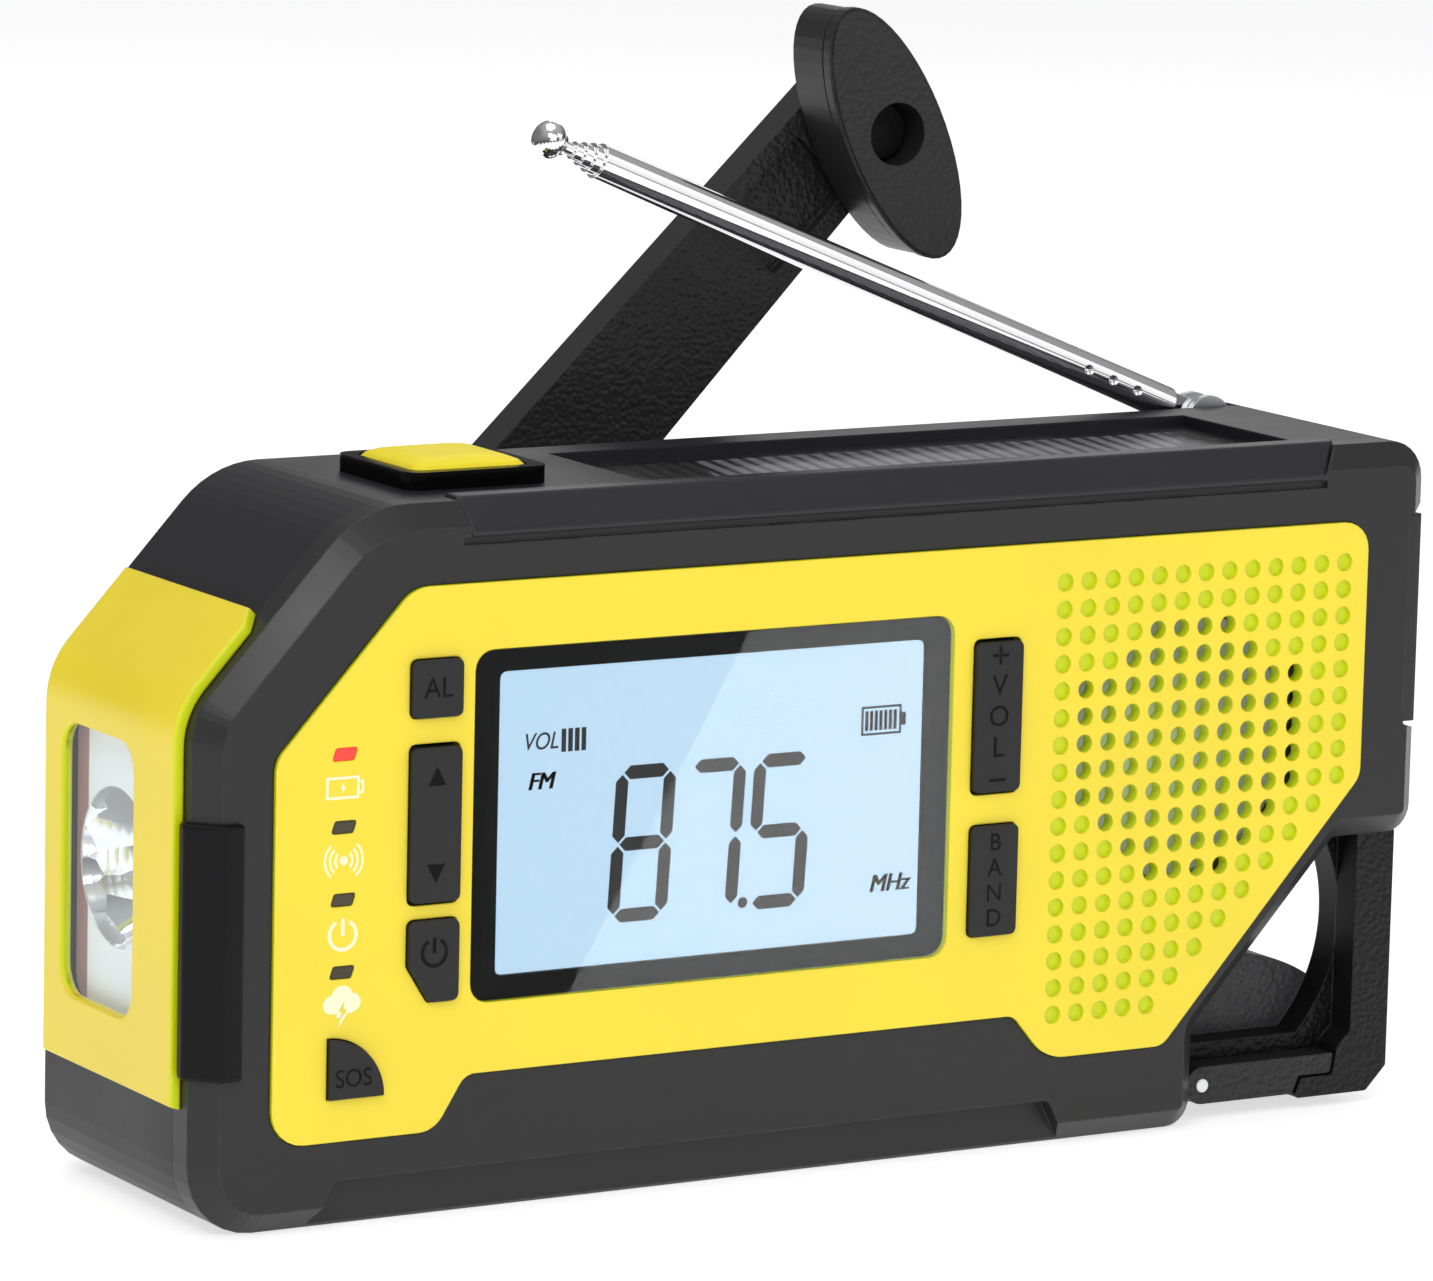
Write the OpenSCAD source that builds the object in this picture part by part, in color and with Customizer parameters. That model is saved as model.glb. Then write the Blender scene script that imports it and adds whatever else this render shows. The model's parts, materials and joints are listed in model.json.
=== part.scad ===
// Hand-crank emergency radio with torch, solar panel, telescopic antenna and
// carabiner corner. Origin: centre of the base. X runs along the front from
// left to right, Y from the front face to the back, Z up.

/* [Case] */
// Width of the case, left to right
body_w = 162; // [135:1:195]
// Height of the case
body_h = 80; // [67:1:96]
// Depth of the case, front to back, without the crank
body_d = 41.5; // [40:0.5:50]
// Wall thickness of both shells
wall = 2.2; // [1.8:0.1:2.6]
// Width of the 45-degree chamfer round the front
bezel_c = 2.6; // [1.5:0.1:2.8]
// Depth of the front shell, from the front face to the seam
front_d = 6; // [5.5:0.5:7]
// Thickness of the yellow front panel
fascia_t = 1.8; // [1.4:0.1:2.2]

/* [Corner cut-out] */
// Width of the cut-out at the lower right corner
cut_w = 30.3; // [28:0.5:34]
// Height of the cut-out, from the base to the lug
cut_h = 33; // [30:0.5:36]

/* [Speaker] */
// Radius of the speaker frame
speaker_r = 19; // [16:0.5:21]
// Radius of each dot of the speaker grille
dot_r = 1.05; // [0.8:0.05:1.2]

/* [Crank] */
// Distance from the crank hub to the knob's axis
crank_len = 82; // [68:1:98]
// Angle of the crank arm above horizontal, at rest
crank_a = 45; // [30:1:75]
// Thickness of the crank arm
arm_t = 5.2; // [4.4:0.1:6.2]
// Thickness of the crank knob
knob_t = 9.5; // [8:0.5:11.5]
// Length of the oval crank knob
knob_l = 33.2; // [28:0.2:38]
// Width of the oval crank knob
knob_w = 13.4; // [12:0.2:16]

/* [Antenna] */
// Distance from the antenna's pivot to the mouth of its widest tube
ant_len = 91.6; // [76:0.2:104]
// Angle of the antenna above horizontal, at rest
ant_a = 22; // [15:1:60]
// Outer radius of the widest antenna tube
ant_r = 2.15; // [2.05:0.05:2.3]

/* [Battery] */
// Radius of the battery cell
cell_r = 9.2; // [7:0.1:9.6]
// Length of the battery cell
cell_l = 65; // [50:1:70]

/* [Hidden] */
$fn = 48;
fine = 96;                     // facets of bores and shafts
gap = 0.15;                    // clearance round a moving key
run = 0.05;                    // radial running clearance of a shaft in its bore

xl = -body_w / 2;              // left face
xr = body_w / 2;               // right face
yf = -body_d / 2;              // front face
yb = body_d / 2;               // back face
seam = yf + front_d;           // plane where the shells meet
back_c = 3;                    // chamfer round the back

// Sloping shoulder at the top left
shoulder_w = 20.3;
shoulder_h = 22;
slope_a = atan2(shoulder_h, shoulder_w);
vertex_z = body_h - shoulder_h;

// Corner cut-out at the lower right
cut_step = 11;                 // flat underside of the lug
foot_h = 11.8;                 // height of the foot's end face
foot_x = xr - cut_w;           // end face of the foot

// Outline of the case: [x, z, corner radius], anticlockwise seen from the front
CASE = [[xl, 0, 8], [foot_x, 0, 3.2], [foot_x, foot_h, 1.2], [xr - cut_step, cut_h, 1.2],
        [xr, cut_h, 3.2], [xr, body_h, 4.6], [xl + shoulder_w, body_h, 13], [xl, vertex_z, 9]];

// Grille: 13 columns of dots, hung from the top right corner
dot_dx = 3.25;
dot_dz = 3.173;
dot_cols = 13;
grid_x = xr - 12.75 - (dot_cols - 1) * dot_dx;
grid_z = body_h - 13.5;
diag_z = cut_h + 7.7;          // where the panel's lower right diagonal starts
full_rows = floor((grid_z - diag_z) / dot_dz) + 1;

// Front panel
panel_l = xl + 8.8;
panel_r = xr - 9.4;
panel_b = 10;
panel_t = body_h - 8.8;
panel_step = 6.1;              // height of the step in the lower edge
step_l = panel_l + 24;
step_r = grid_x - 5.4;
shoulder_run = 16.7;           // width of the panel's own shoulder
PANEL = [[panel_l, panel_b, 4], [step_l - 3.8, panel_b, 3.5], [step_l, panel_b + panel_step, 2.2],
         [step_r, panel_b + panel_step, 2.2], [step_r + 4.6, panel_b + 0.6, 5.5],
         [foot_x - 6, panel_b + 0.6, 2.5], [panel_r, diag_z, 3], [panel_r, panel_t, 3.4],
         [panel_l + shoulder_run, panel_t, 4.5],
         [panel_l, panel_t - shoulder_run * tan(slope_a), 3.5]];
proud = 0.4;                   // the panel stands this far out of the shell
panel_y0 = yf - proud;
panel_y1 = panel_y0 + fascia_t;
plate_t = 1.8;                 // shell material behind the panel
plate_y = panel_y1 + plate_t;  // inner face of the front plate
rows = floor((grid_z - panel_b - 5) / dot_dz) + 1;

// Display
disp_l = panel_l + 24.4;
disp_r = grid_x - 14.85;
disp_b = panel_b + 14;
disp_t = panel_t - 7.5;
disp_edge = 3.5;               // width of the black border

// Keys of the front: centre lines of the two columns, and key width
keys_l = disp_l - 4.9;
keys_r = grid_x - 9;
key_w = 6.2;
key_out = 1.1;                 // the keys stand this far out of the shell
flange = 0.8;                  // rim behind the front plate that holds a key in
led_x = panel_l + 8.4;
led_dz = 8.1;
led_mid = (disp_b + disp_t) / 2 - 2.7;

// Torch at the left end
torch_out = 1.4;               // the bezel stands this far out of the case
torch_y0 = yf + 4.2;
torch_y1 = yb - 5.2;
torch_b = 14.2;
torch_up = 13.9;               // length of the bezel up the shoulder
torch_mid_y = 2.2;
torch_mid_z = 37.7 + (body_h - 80) / 2;
torch_win_w = 18;
torch_win_h = 31;
cup_r = torch_win_w / 2 + 0.9;
cup_d = 11;
tray_x = xl + 1.1;             // front face of the reflector's plate
tray_t = 1.2;

// Top face: torch key, solar window, antenna channel, bumper
key_x = -41.7 + (xl + 81);
key_y = -1.4;
collar_w = 18;
collar_h = 2;
solar_l = xl + 59;
solar_r = xr - 15.5;
solar_y0 = seam + 0.7;
solar_y1 = 9.6;
solar_d = 2.6;                 // depth of the solar window's well
bump_l = xl + 32.7;
bump_r = xr - 16.3;

// Antenna
ant_x = xr - 8;
ant_y = 17.2 + (yb - 20.75);
ant_z = body_h - 1.8;
ant_wall = 0.3;
ant_step = 1.2;                // length of each tube that shows when pushed in
ant_root = 5.6;                // distance from the pivot to the tubes' root
ant_tang = 2.4;
chan_d = 5;                  // depth of the channel that the antenna folds into
chan_y = ant_y - ant_r - 0.5;

// Crank
hub_x = -26.5 + (xl + 81);
hub_z = body_h - 24.2;
knob_gap = 0.6;
arm_y = yb + 0.8 + knob_t + knob_gap;   // front face of the arm
arm_mid = arm_y + arm_t / 2;
arm_w0 = 17.6;                 // width of the arm at the hub
arm_w1 = 14;                   // width of the arm at the knob
hub_r = 12.6;
shaft_r = 3;
pin_r = 1.5;                   // fold hinge
knuckle_r = 3.3;
ear_t = 2.4;
knob_tilt = 108.5;             // angle of the knob's long axis, from the arm, at rest
knob_hole = 3.75;

// Gear train: crank gear, compound idler, generator pinion
gear_m = 0.8;
crank_teeth = 40;
idler_small = 12;
idler_big = 36;
pinion_teeth = 10;
gear_t = 3.6;
gear_y1 = yb - wall - 0.8 - gear_t;      // layer 1: crank gear and small idler
gear_y2 = gear_y1 - gear_t - 0.8;        // layer 2: big idler and pinion
mesh_gap = 0.12;
idler_x = hub_x + gear_m * (crank_teeth + idler_small) / 2 + mesh_gap;
idler_z = hub_z;
pinion_dir = -30;
pinion_dist = gear_m * (idler_big + pinion_teeth) / 2 + mesh_gap;
gen_x = idler_x + pinion_dist * cos(pinion_dir);
gen_z = idler_z + pinion_dist * sin(pinion_dir);
gen_r = 10.5;

// Speaker, centred behind the open holes
spk_x = grid_x + 5.5 * dot_dx;
spk_z = grid_z - 6.5 * dot_dz;

// Battery
cell_y = yb - wall - 1.4 - cell_r;
cell_z = wall + 1.4 + cell_r;
cell_x = xl + 32;

// Carabiner corner
hook_y = yf + 3.25;            // front face of the hook
hook_t = 4;
hook_in = xr - 6.8;            // inner edge of the upright
hook_out = xr - 1.5;
gate_x = foot_x + 2.5;         // gate pivot
gate_z = 4.2;
gate_h = 4.5;
gate_pin = 0.8;
nose_x = xr - 14.6;            // where the gate meets the hook

// Case screws: [x, z]
screw_r = 1.3;
post_r = 3.2;
SCREWS = [[xl + 12, 9], [foot_x - 9.5, 8.5], [xr - 8.8, cut_h + 7.4], [xr - 12, body_h - 12],
          [xl + 27, body_h - 10]];

// Port cover at the right side
port_b = cut_h + 13.4;
port_t = body_h - 8.5;
port_y1 = 7;
port_d = 3.2;                  // depth of the recess
port_cover_t = 2.2;

// ---------------------------------------------------------------- geometry

function unit(v) = v / norm(v);
function wrap(a) = a > 180 ? a - 360 : a < -180 ? a + 360 : a;

// Arc of radius b[2] that replaces corner b of the path a, b, c
function fillet(a, b, c, n) =
    let (p = [b[0], b[1]],
         u = unit([a[0], a[1]] - p),
         v = unit([c[0], c[1]] - p),
         half = acos(u * v) / 2,
         m = p + unit(u + v) * b[2] / sin(half),
         s = p + u * b[2] / tan(half) - m,
         e = p + v * b[2] / tan(half) - m,
         a0 = atan2(s[1], s[0]),
         d = wrap(atan2(e[1], e[0]) - a0))
    [for (j = [0:n]) m + b[2] * [cos(a0 + d * j / n), sin(a0 + d * j / n)]];

// Outline whose corners [x, z, radius] are rounded; radius 0 keeps the corner
function rounded(c, n = 6) =
    [for (i = [0:len(c) - 1])
        each (c[i][2] == 0 ? [[c[i][0], c[i][1]]]
            : fillet(c[(i + len(c) - 1) % len(c)], c[i], c[(i + 1) % len(c)], n))];

function left_of(v) = [-v[1], v[0]] / norm(v);

// Outline moved inwards by d (outwards when d is negative)
function inset(p, d) =
    [for (i = [0:len(p) - 1])
        let (n1 = left_of(p[i] - p[(i + len(p) - 1) % len(p)]),
             n2 = left_of(p[(i + 1) % len(p)] - p[i]))
        p[i] + d * (n1 + n2) / (1 + n1 * n2)];

function box_outline(x0, z0, x1, z1, r) = [[x0, z0, r], [x1, z0, r], [x1, z1, r], [x0, z1, r]];

// Plate with an outline in X and Z, from y0 to y1
module plate(p, y0, y1) {
    translate([0, y1, 0]) rotate([90, 0, 0]) linear_extrude(y1 - y0) polygon(p);
}

// Solid through rings of equal length, each [y, outline], front to back
module skin(rings) {
    n = len(rings[0][1]);
    last = len(rings) - 1;
    polyhedron(
        points = [for (r = rings) each [for (p = r[1]) [p[0], r[0], p[1]]]],
        faces = [[for (i = [n - 1:-1:0]) i],
                 [for (i = [0:n - 1]) last * n + i],
                 for (k = [0:last - 1]) for (i = [0:n - 1])
                     [k * n + i, k * n + (i + 1) % n,
                      (k + 1) * n + (i + 1) % n, (k + 1) * n + i]],
        convexity = 10);
}

// Plate whose front and back edges have 45-degree chamfers c0 and c1
lead = 0.1;                    // how far the sides run past the faces before they are cut flat
module chamfered(p, y0, y1, c0, c1) {
    intersection() {
        skin(concat([[y0 - lead, inset(p, c0 > 0 ? c0 + lead : 0)]], c0 > 0 ? [[y0 + c0, p]] : [],
                    c1 > 0 ? [[y1 - c1, p]] : [], [[y1 + lead, inset(p, c1 > 0 ? c1 + lead : 0)]]));
        block(2 * xl, 2 * xr, y0, y1, -body_h, 2 * body_h);
    }
}

// Cylinder along Y
module rod_y(x, z, r, y0, y1) {
    translate([x, y1, z]) rotate([90, 0, 0]) cylinder(r = r, h = y1 - y0, $fn = fine);
}

module block(x0, x1, y0, y1, z0, z1) {
    translate([x0, y0, z0]) cube([x1 - x0, y1 - y0, z1 - z0]);
}

// ---------------------------------------------------------------- shells

case_line = rounded(CASE, 7);
panel_line = rounded(PANEL, 6);

function key_hole(k) = rounded(box_outline(k[0] - gap, k[1] - gap, k[2] + gap, k[3] + gap, 0.8), 3);

alarm_box = [keys_l - key_w / 2, disp_t - 7, keys_l + key_w / 2, disp_t - 0.6];
tune_box = [keys_l - key_w / 2, disp_b + 11.8, keys_l + key_w / 2, disp_t - 10.1];
power_box = [keys_l - key_w / 2, disp_b + 0.8, keys_l + key_w / 2, disp_b + 10];
volume_box = [keys_r - key_w / 2, disp_b + 18.6, keys_r + key_w / 2, disp_t - 3.2];
band_box = [keys_r - key_w / 2, disp_b + 2, keys_r + key_w / 2, disp_b + 14.9];
sos_r = 6.7;
sos_x = panel_l + 6.8;
sos_z = panel_b + 4.9;

// The power key has its lower left corner cut off
power_cut = 2.6;
function power_outline(d) =
    let (b = power_box)
    rounded([[b[0] + power_cut - 0.4 * d, b[1] - d, 0.5], [b[2] + d, b[1] - d, 0.8],
             [b[2] + d, b[3] + d, 0.8], [b[0] - d, b[3] + d, 0.8],
             [b[0] - d, b[1] + 1.6 * power_cut - 0.4 * d, 0.5]], 3);

// The distress key is a quarter disc
function sos_outline(d) =
    let (a0 = -asin(d / (sos_r + d)))
    concat([[sos_x - d, sos_z - d]],
           [for (i = [0:12]) let (a = a0 + (90 - 2 * a0) * i / 12)
               [sos_x, sos_z] + (sos_r + d) * [cos(a), sin(a)]]);

KEYS = [key_hole(alarm_box), key_hole(tune_box), power_outline(gap), sos_outline(gap),
        key_hole(volume_box), key_hole(band_box)];

display_line = rounded(box_outline(disp_l, disp_b, disp_r, disp_t, 2.3), 5);
window_line = rounded(box_outline(disp_l + disp_edge, disp_b + disp_edge - 0.8,
                                  disp_r - disp_edge, disp_t - disp_edge + 0.8, 0.8), 3);

module posts(y0, y1) {
    for (s = SCREWS) rod_y(s[0], s[1], post_r, y0, y1);
}
// Four short posts that the main board rests on
module standoffs() {
    for (x = [board_l + 3.4, board_r - 4.5], z = [disp_b - 1.4, disp_t + 0.3])
        rod_y(x, z, 1.4, plate_y - 0.1, board_y);
}

// Recess along the lower edge of the front
low_l = xl + 16;
low_r = foot_x - 20.4;
module low_recess() {
    plate(rounded([[low_l - 2.4, -1, 0], [low_r + 2.4, -1, 0], [low_r - 1, 5.5, 1.4],
                   [low_l + 1, 5.5, 1.4]], 4), yf - 1, yf + 2.2);
}

module port_recess() {
    plate(rounded([[xr - port_d, port_b, 0.5], [xr + 2, port_b - 1.5, 0], [xr + 2, port_t + 1.5, 0],
                   [xr - port_d, port_t, 0.5]], 4), yf - 1, port_y1);
}

module front_shell() color("#434343") difference() {
    union() {
        difference() {
            chamfered(case_line, yf, seam, bezel_c, 0);
            plate(inset(case_line, wall), plate_y, seam + 1);
        }
        block(xr - port_d - wall, xr - wall + 0.3, plate_y - 0.3, seam, port_b - wall, port_t + wall);
        posts(plate_y - 0.1, seam);
        standoffs();
    }
    plate(inset(panel_line, -0.1), yf - 1, panel_y1);
    plate(window_line, yf, seam);
    for (k = KEYS) plate(k, yf, plate_y + 1);
    for (i = [0:3]) rod_y(led_x, led_mid + (1.5 - i) * led_dz, 1.3, yf, plate_y + 1);
    rod_y(spk_x, spk_z, speaker_r - 2, yf, plate_y + 1);
    for (s = SCREWS) rod_y(s[0], s[1], screw_r, plate_y, seam + 1);
    low_recess();
    port_recess();
    bump_seat();
    block(bump_l - 1, bump_r + 1, yf - 1, yf + 0.6, body_h - bump_h - 0.9, body_h - bump_h);
}

// Through holes of the grille: half width of the open patch in each row
OPEN = [0, 0, 2, 3, 5, 5, 5, 5, 5, 4, 3, 2];
function is_open(i, j) = j < len(OPEN) && abs(i - 5.5) < OPEN[j];

led_w = 3.2;
led_h = 1.4;
function led_outline(i, d) =
    let (z = led_mid + (1.5 - i) * led_dz)
    rounded([[led_x - led_w / 2 - d, z - led_h / 2 - d, 0.3],
             [led_x + led_w / 2 - 0.5 + d, z - led_h / 2 - d, 0.3],
             [led_x + led_w / 2 + d, z + led_h / 2 + d, 0.3],
             [led_x - led_w / 2 + 0.5 - d, z + led_h / 2 + d, 0.3]], 2);

module front_panel() color("#f7de4a") difference() {
    plate(panel_line, panel_y0, panel_y1);
    plate(display_line, panel_y0 - 1, panel_y1 + 1);
    for (k = KEYS) plate(k, panel_y0 - 1, panel_y1 + 1);
    for (i = [0:3]) plate(led_outline(i, 0.05), panel_y0 - 1, panel_y1 + 1);
    for (j = [0:rows - 1])
        for (i = [0:dot_cols - 1 - max(0, j - full_rows + 1)])
            rod_dot(grid_x + i * dot_dx, grid_z - j * dot_dz, is_open(i, j));
}

module rod_dot(x, z, open) {
    y1 = open ? panel_y1 + 1 : panel_y0 + 0.6;
    translate([x, y1, z]) rotate([90, 0, 0]) cylinder(r = dot_r, h = y1 - panel_y0 + 1, $fn = 20);
}

// Rear shell, with wells for the solar cell and the antenna, and screw tubes
chan_l = ant_x - ant_len - 12;
module rear_shell() color("#38383c") difference() {
    union() {
        difference() {
            chamfered(case_line, seam, yb, 0, back_c);
            plate(inset(case_line, wall), seam - 1, yb - wall);
        }
        // floors and walls of the wells; all reach a little way into the case's walls
        block(solar_l - wall, solar_r + wall, seam, solar_y1 + wall,
              body_h - solar_d - wall, body_h - wall + 0.3);
        block(chan_l - wall, xr - wall + 0.3, chan_y - wall, yb - wall + 0.3,
              body_h - chan_d - wall, body_h - wall + 0.3);
        block(xr - port_d - wall, xr - wall + 0.3, seam, port_y1 + wall, port_b - wall, port_t + wall);
        posts(seam, yb - wall + 0.1);
        rod_y(hub_x, hub_z, shaft_r + 2, yb - wall - 0.6, yb);
        rod_y(idler_x, idler_z, 3, yb - wall - 0.6, yb - 0.5);
    }
    block(solar_l, solar_r, solar_y0, solar_y1, body_h - solar_d, body_h + 1);
    block(chan_l, ant_x + 4.2, chan_y, yb + 1, body_h - chan_d, body_h + 1);
    port_recess();
    block(xr - port_d - wall - 1, xr, charge_y - charge_w / 2, charge_y + charge_w / 2,
          charge_z - charge_h / 2, charge_z + charge_h / 2);
    plate_x(torch_hole(0.15), xl - 1, xl + wall + 1);
    block(key_x - 5.2, key_x + 5.2, key_y - 5.2, key_y + 5.2, body_h - wall - 3, body_h + 1);
    rod_y(hub_x, hub_z, shaft_r + run, yb - 5, yb + 1);
    rod_y(idler_x, idler_z, axle_r, yb - 8, yb - 0.8);
    for (s = SCREWS) {
        rod_y(s[0], s[1], screw_r + 0.2, seam - 1, yb + 1);
        rod_y(s[0], s[1], 2.7, yb - 3, yb + 1);
    }
}

// Plate with an outline in Y and Z, from x0 to x1
module plate_x(p, x0, x1) {
    translate([x0, 0, 0]) rotate([90, 0, 90]) linear_extrude(x1 - x0) polygon(p);
}

// ---------------------------------------------------------------- torch

function torch_hole(d) =
    rounded(box_outline(torch_mid_y - torch_win_w / 2 - 1 - d, torch_mid_z - torch_win_h / 2 - 1 - d,
                        torch_mid_y + torch_win_w / 2 + 1 + d, torch_mid_z + torch_win_h / 2 + 1 + d, 3), 4);
function torch_window(d) =
    rounded(box_outline(torch_mid_y - torch_win_w / 2 - d, torch_mid_z - torch_win_h / 2 - d,
                        torch_mid_y + torch_win_w / 2 + d, torch_mid_z + torch_win_h / 2 + d, 3.4), 5);

// The bezel bends over the shoulder: path of the case side, and the same path moved out
torch_top = [xl + torch_up * cos(slope_a), vertex_z + torch_up * sin(slope_a)];
torch_n = torch_out * [-sin(slope_a), cos(slope_a)];
bend = torch_out * tan((90 - slope_a) / 2);
TORCH_LINE = [[xl, torch_b, 0], [xl, vertex_z, 9],
              [torch_top[0], torch_top[1], 0],
              [torch_top[0] + torch_n[0], torch_top[1] + torch_n[1], 0],
              [xl - torch_out, vertex_z + bend, 9 + torch_out],
              [xl - torch_out, torch_b + 0.5, 0.4]];

corner_cut = 2.4;
module torch_bezel() color("#f7de4a") difference() {
    plate(rounded(TORCH_LINE, 7), torch_y0, torch_y1);
    plate_x(torch_window(0), xl - torch_out - 1, xl + 4);
    // cut-off corner where the upper end meets the front edge
    translate([torch_top[0], torch_y0, torch_top[1]]) rotate([0, -slope_a, 0])
        translate([0, 0, -4]) linear_extrude(8)
            polygon([[0.2, -0.2], [-corner_cut, -0.2], [0.2, 0.8 * corner_cut]]);
}

module torch_lens() color("#dfe6ea", 0.4)
    plate_x(torch_window(0), xl - 0.9, xl + 0.1);

module torch_reflector() color("#d9dcde") difference() {
    union() {
        plate_x(torch_hole(0), tray_x, tray_x + tray_t);
        translate([tray_x, torch_mid_y, torch_mid_z]) rotate([0, 90, 0])
            cylinder(r = cup_r, h = cup_d, $fn = fine);
    }
    translate([tray_x, torch_mid_y, torch_mid_z]) rotate([0, 90, 0])
        rotate_extrude($fn = fine) polygon(concat([[0, -1], [cup_r - 0.8, -1]],
            [for (i = [0:10]) let (h = (cup_d - 1.2) * i / 10)
                [(cup_r - 0.8) * sqrt(1 - h / (cup_d + 0.6)), h]], [[0, cup_d - 1.2]]));
}

module torch_led() color("#f4efc8")
    translate([tray_x + cup_d - 1.2, torch_mid_y, torch_mid_z]) rotate([0, -90, 0])
        rotate_extrude($fn = fine) polygon(concat([[0, 0], [2.2, 0], [2.2, 1]],
            [for (i = [1:6]) [2.2 * cos(15 * i), 1 + 2.2 * sin(15 * i)]]));

// ---------------------------------------------------------------- trim

// Rubber bumper along the top front edge, in a seat cut out of the shell
bump_h = 3.7;
bump_slant = 3.9;              // its right end leans outwards by this much
bump_out = 0.4;                // it stands this far above the case
module bump_zone() {
    plate([[bump_l, body_h - bump_h], [bump_r, body_h - bump_h],
           [bump_r + 1.3 * bump_slant, body_h + 1.5], [bump_l - 0.5, body_h + 1.5]], yf - 2, seam + 1);
}
module top_bumper() color("#3b3b40") intersection() {
    bump_zone();
    translate([bump_l - 9, 0, 0]) rotate([90, 0, 90]) linear_extrude(bump_r - bump_l + 18)
        polygon([[yf - 0.15, body_h - bump_h], [yf + 1.4, body_h - bump_h], [yf + 2.4, body_h - 0.9],
                 [seam, body_h - 0.9], [seam, body_h + bump_out], [yf + 3.35, body_h + bump_out],
                 [yf - 0.15, body_h - bump_h + 0.65]]);
}
module bump_seat() intersection() {
    bump_zone();
    translate([bump_l - 9, 0, 0]) rotate([90, 0, 90]) linear_extrude(bump_r - bump_l + 18)
        polygon([[yf - 1, body_h - bump_h], [yf + 1.4, body_h - bump_h], [yf + 2.4, body_h - 0.9],
                 [seam + 1, body_h - 0.9], [seam + 1, body_h + 1.5], [yf - 1, body_h + 1.5]]);
}

// Rubber pad wrapped round the front left corner
pad_b = 18;
pad_t = vertex_z - 11.5;
module grip_pad() color("#1e1e20")
    translate([0, 0, pad_b]) linear_extrude(pad_t - pad_b)
        polygon([[xl + 5, yf], [xl + 5, yf - 0.8], [xl + 2.4, yf - 1], [xl - 1, yf + 2.4],
                 [xl - 0.8, torch_y0 - 0.3], [xl, torch_y0 - 0.3], [xl, yf + bezel_c],
                 [xl + bezel_c, yf]]);

// ---------------------------------------------------------------- display

mask_y = panel_y0 + 0.7;
module display_cover() color("#cfd8dc", 0.35)
    plate(inset(display_line, 0.1), panel_y0 - 0.02, mask_y);
module display_mask() color("#0c0c0d") difference() {
    plate(inset(display_line, 0.1), mask_y, panel_y1);
    plate(window_line, panel_y0, seam);
}
module display_panel() color("#cfe6f5")
    plate(inset(window_line, 0.1), mask_y + 0.2, board_y);

// ---------------------------------------------------------------- keys

module key(line, wide) {
    plate(line, yf - key_out, plate_y + 0.1);
    plate(wide, plate_y + 0.05, plate_y + 1.05);
}
function key_top(k) = rounded(box_outline(k[0], k[1], k[2], k[3], 0.7), 3);
function key_rim(k) =
    rounded(box_outline(k[0] - flange, k[1] - flange, k[2] + flange, k[3] + flange, 0.8), 3);

module alarm_button() color("#37373a") key(key_top(alarm_box), key_rim(alarm_box));
module power_button() color("#37373a") key(power_outline(0), power_outline(flange));
module sos_button() color("#37373a") key(sos_outline(0), sos_outline(flange));
module band_button() color("#37373a") key(key_top(band_box), key_rim(band_box));

// Rocker keys tip about a line across their middle, so their ends have no rim
module rocker(k) {
    mid = (k[1] + k[3]) / 2;
    plate(rounded(box_outline(k[0], k[1] + 0.25, k[2], k[3] - 0.25, 0.7), 3), yf - key_out, plate_y + 0.4);
    block(k[0] - flange, k[2] + flange, plate_y + 0.25, plate_y + 1.4, mid - 1.5, mid + 1.5);
}
module tune_rocker() color("#37373a") rocker(tune_box);
module volume_rocker() color("#37373a") rocker(volume_box);

module light(i) {
    plate(led_outline(i, 0), panel_y0 + 0.1, panel_y1);
    rod_y(led_x, led_mid + (1.5 - i) * led_dz, 1.1, panel_y1, plate_y + 1.5);
}
module charge_light() color("#d9302c") light(0);
module status_lights() color("#3a2c12") for (i = [1:3]) light(i);

// ---------------------------------------------------------------- top face

module torch_key_collar() color("#232325") difference() {
    translate([key_x, key_y, body_h]) linear_extrude(collar_h) polygon(square_line(collar_w, 2));
    translate([key_x, key_y, body_h - 1]) linear_extrude(5) polygon(square_line(collar_w - 3.2, 1.6));
}
function square_line(w, r) = rounded(box_outline(-w / 2, -w / 2, w / 2, w / 2, r), 4);
// Square tower through levels [z, width]
module skin_z(levels, r) {
    translate([key_x, key_y, 0]) rotate([90, 0, 0])
        skin([for (l = levels) [l[0], square_line(l[1], r)]]);
}
key_play = 0.2;
module torch_key() color("#f7de4a") {
    w = collar_w - 3.2 - 2 * key_play;
    skin_z([[body_h + 0.9, w], [body_h + collar_h - 0.2, w], [body_h + collar_h + 0.35, w - 1],
            [body_h + collar_h + 0.75, w - 3], [body_h + collar_h + 1.05, w - 6.2]], 1.5);
    translate([key_x, key_y, body_h - 5]) translate([-5, -5, 0]) cube([10, 10, 6]);
}

// Cell and clear window are stacked in the well, both a little smaller than it
solar_gap = 0.2;
solar_t = 0.7;
module solar_layer(z0, z1) {
    block(solar_l + solar_gap, solar_r - solar_gap, solar_y0 + solar_gap, solar_y1 - solar_gap, z0, z1);
}
module solar_cell() color("#2a2a30") solar_layer(body_h - solar_d, body_h - solar_d + solar_t);
module solar_window() color("#aab4bc", 0.3)
    solar_layer(body_h - solar_d + solar_t, body_h - solar_d + 2 * solar_t);

// ---------------------------------------------------------------- inside

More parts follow.
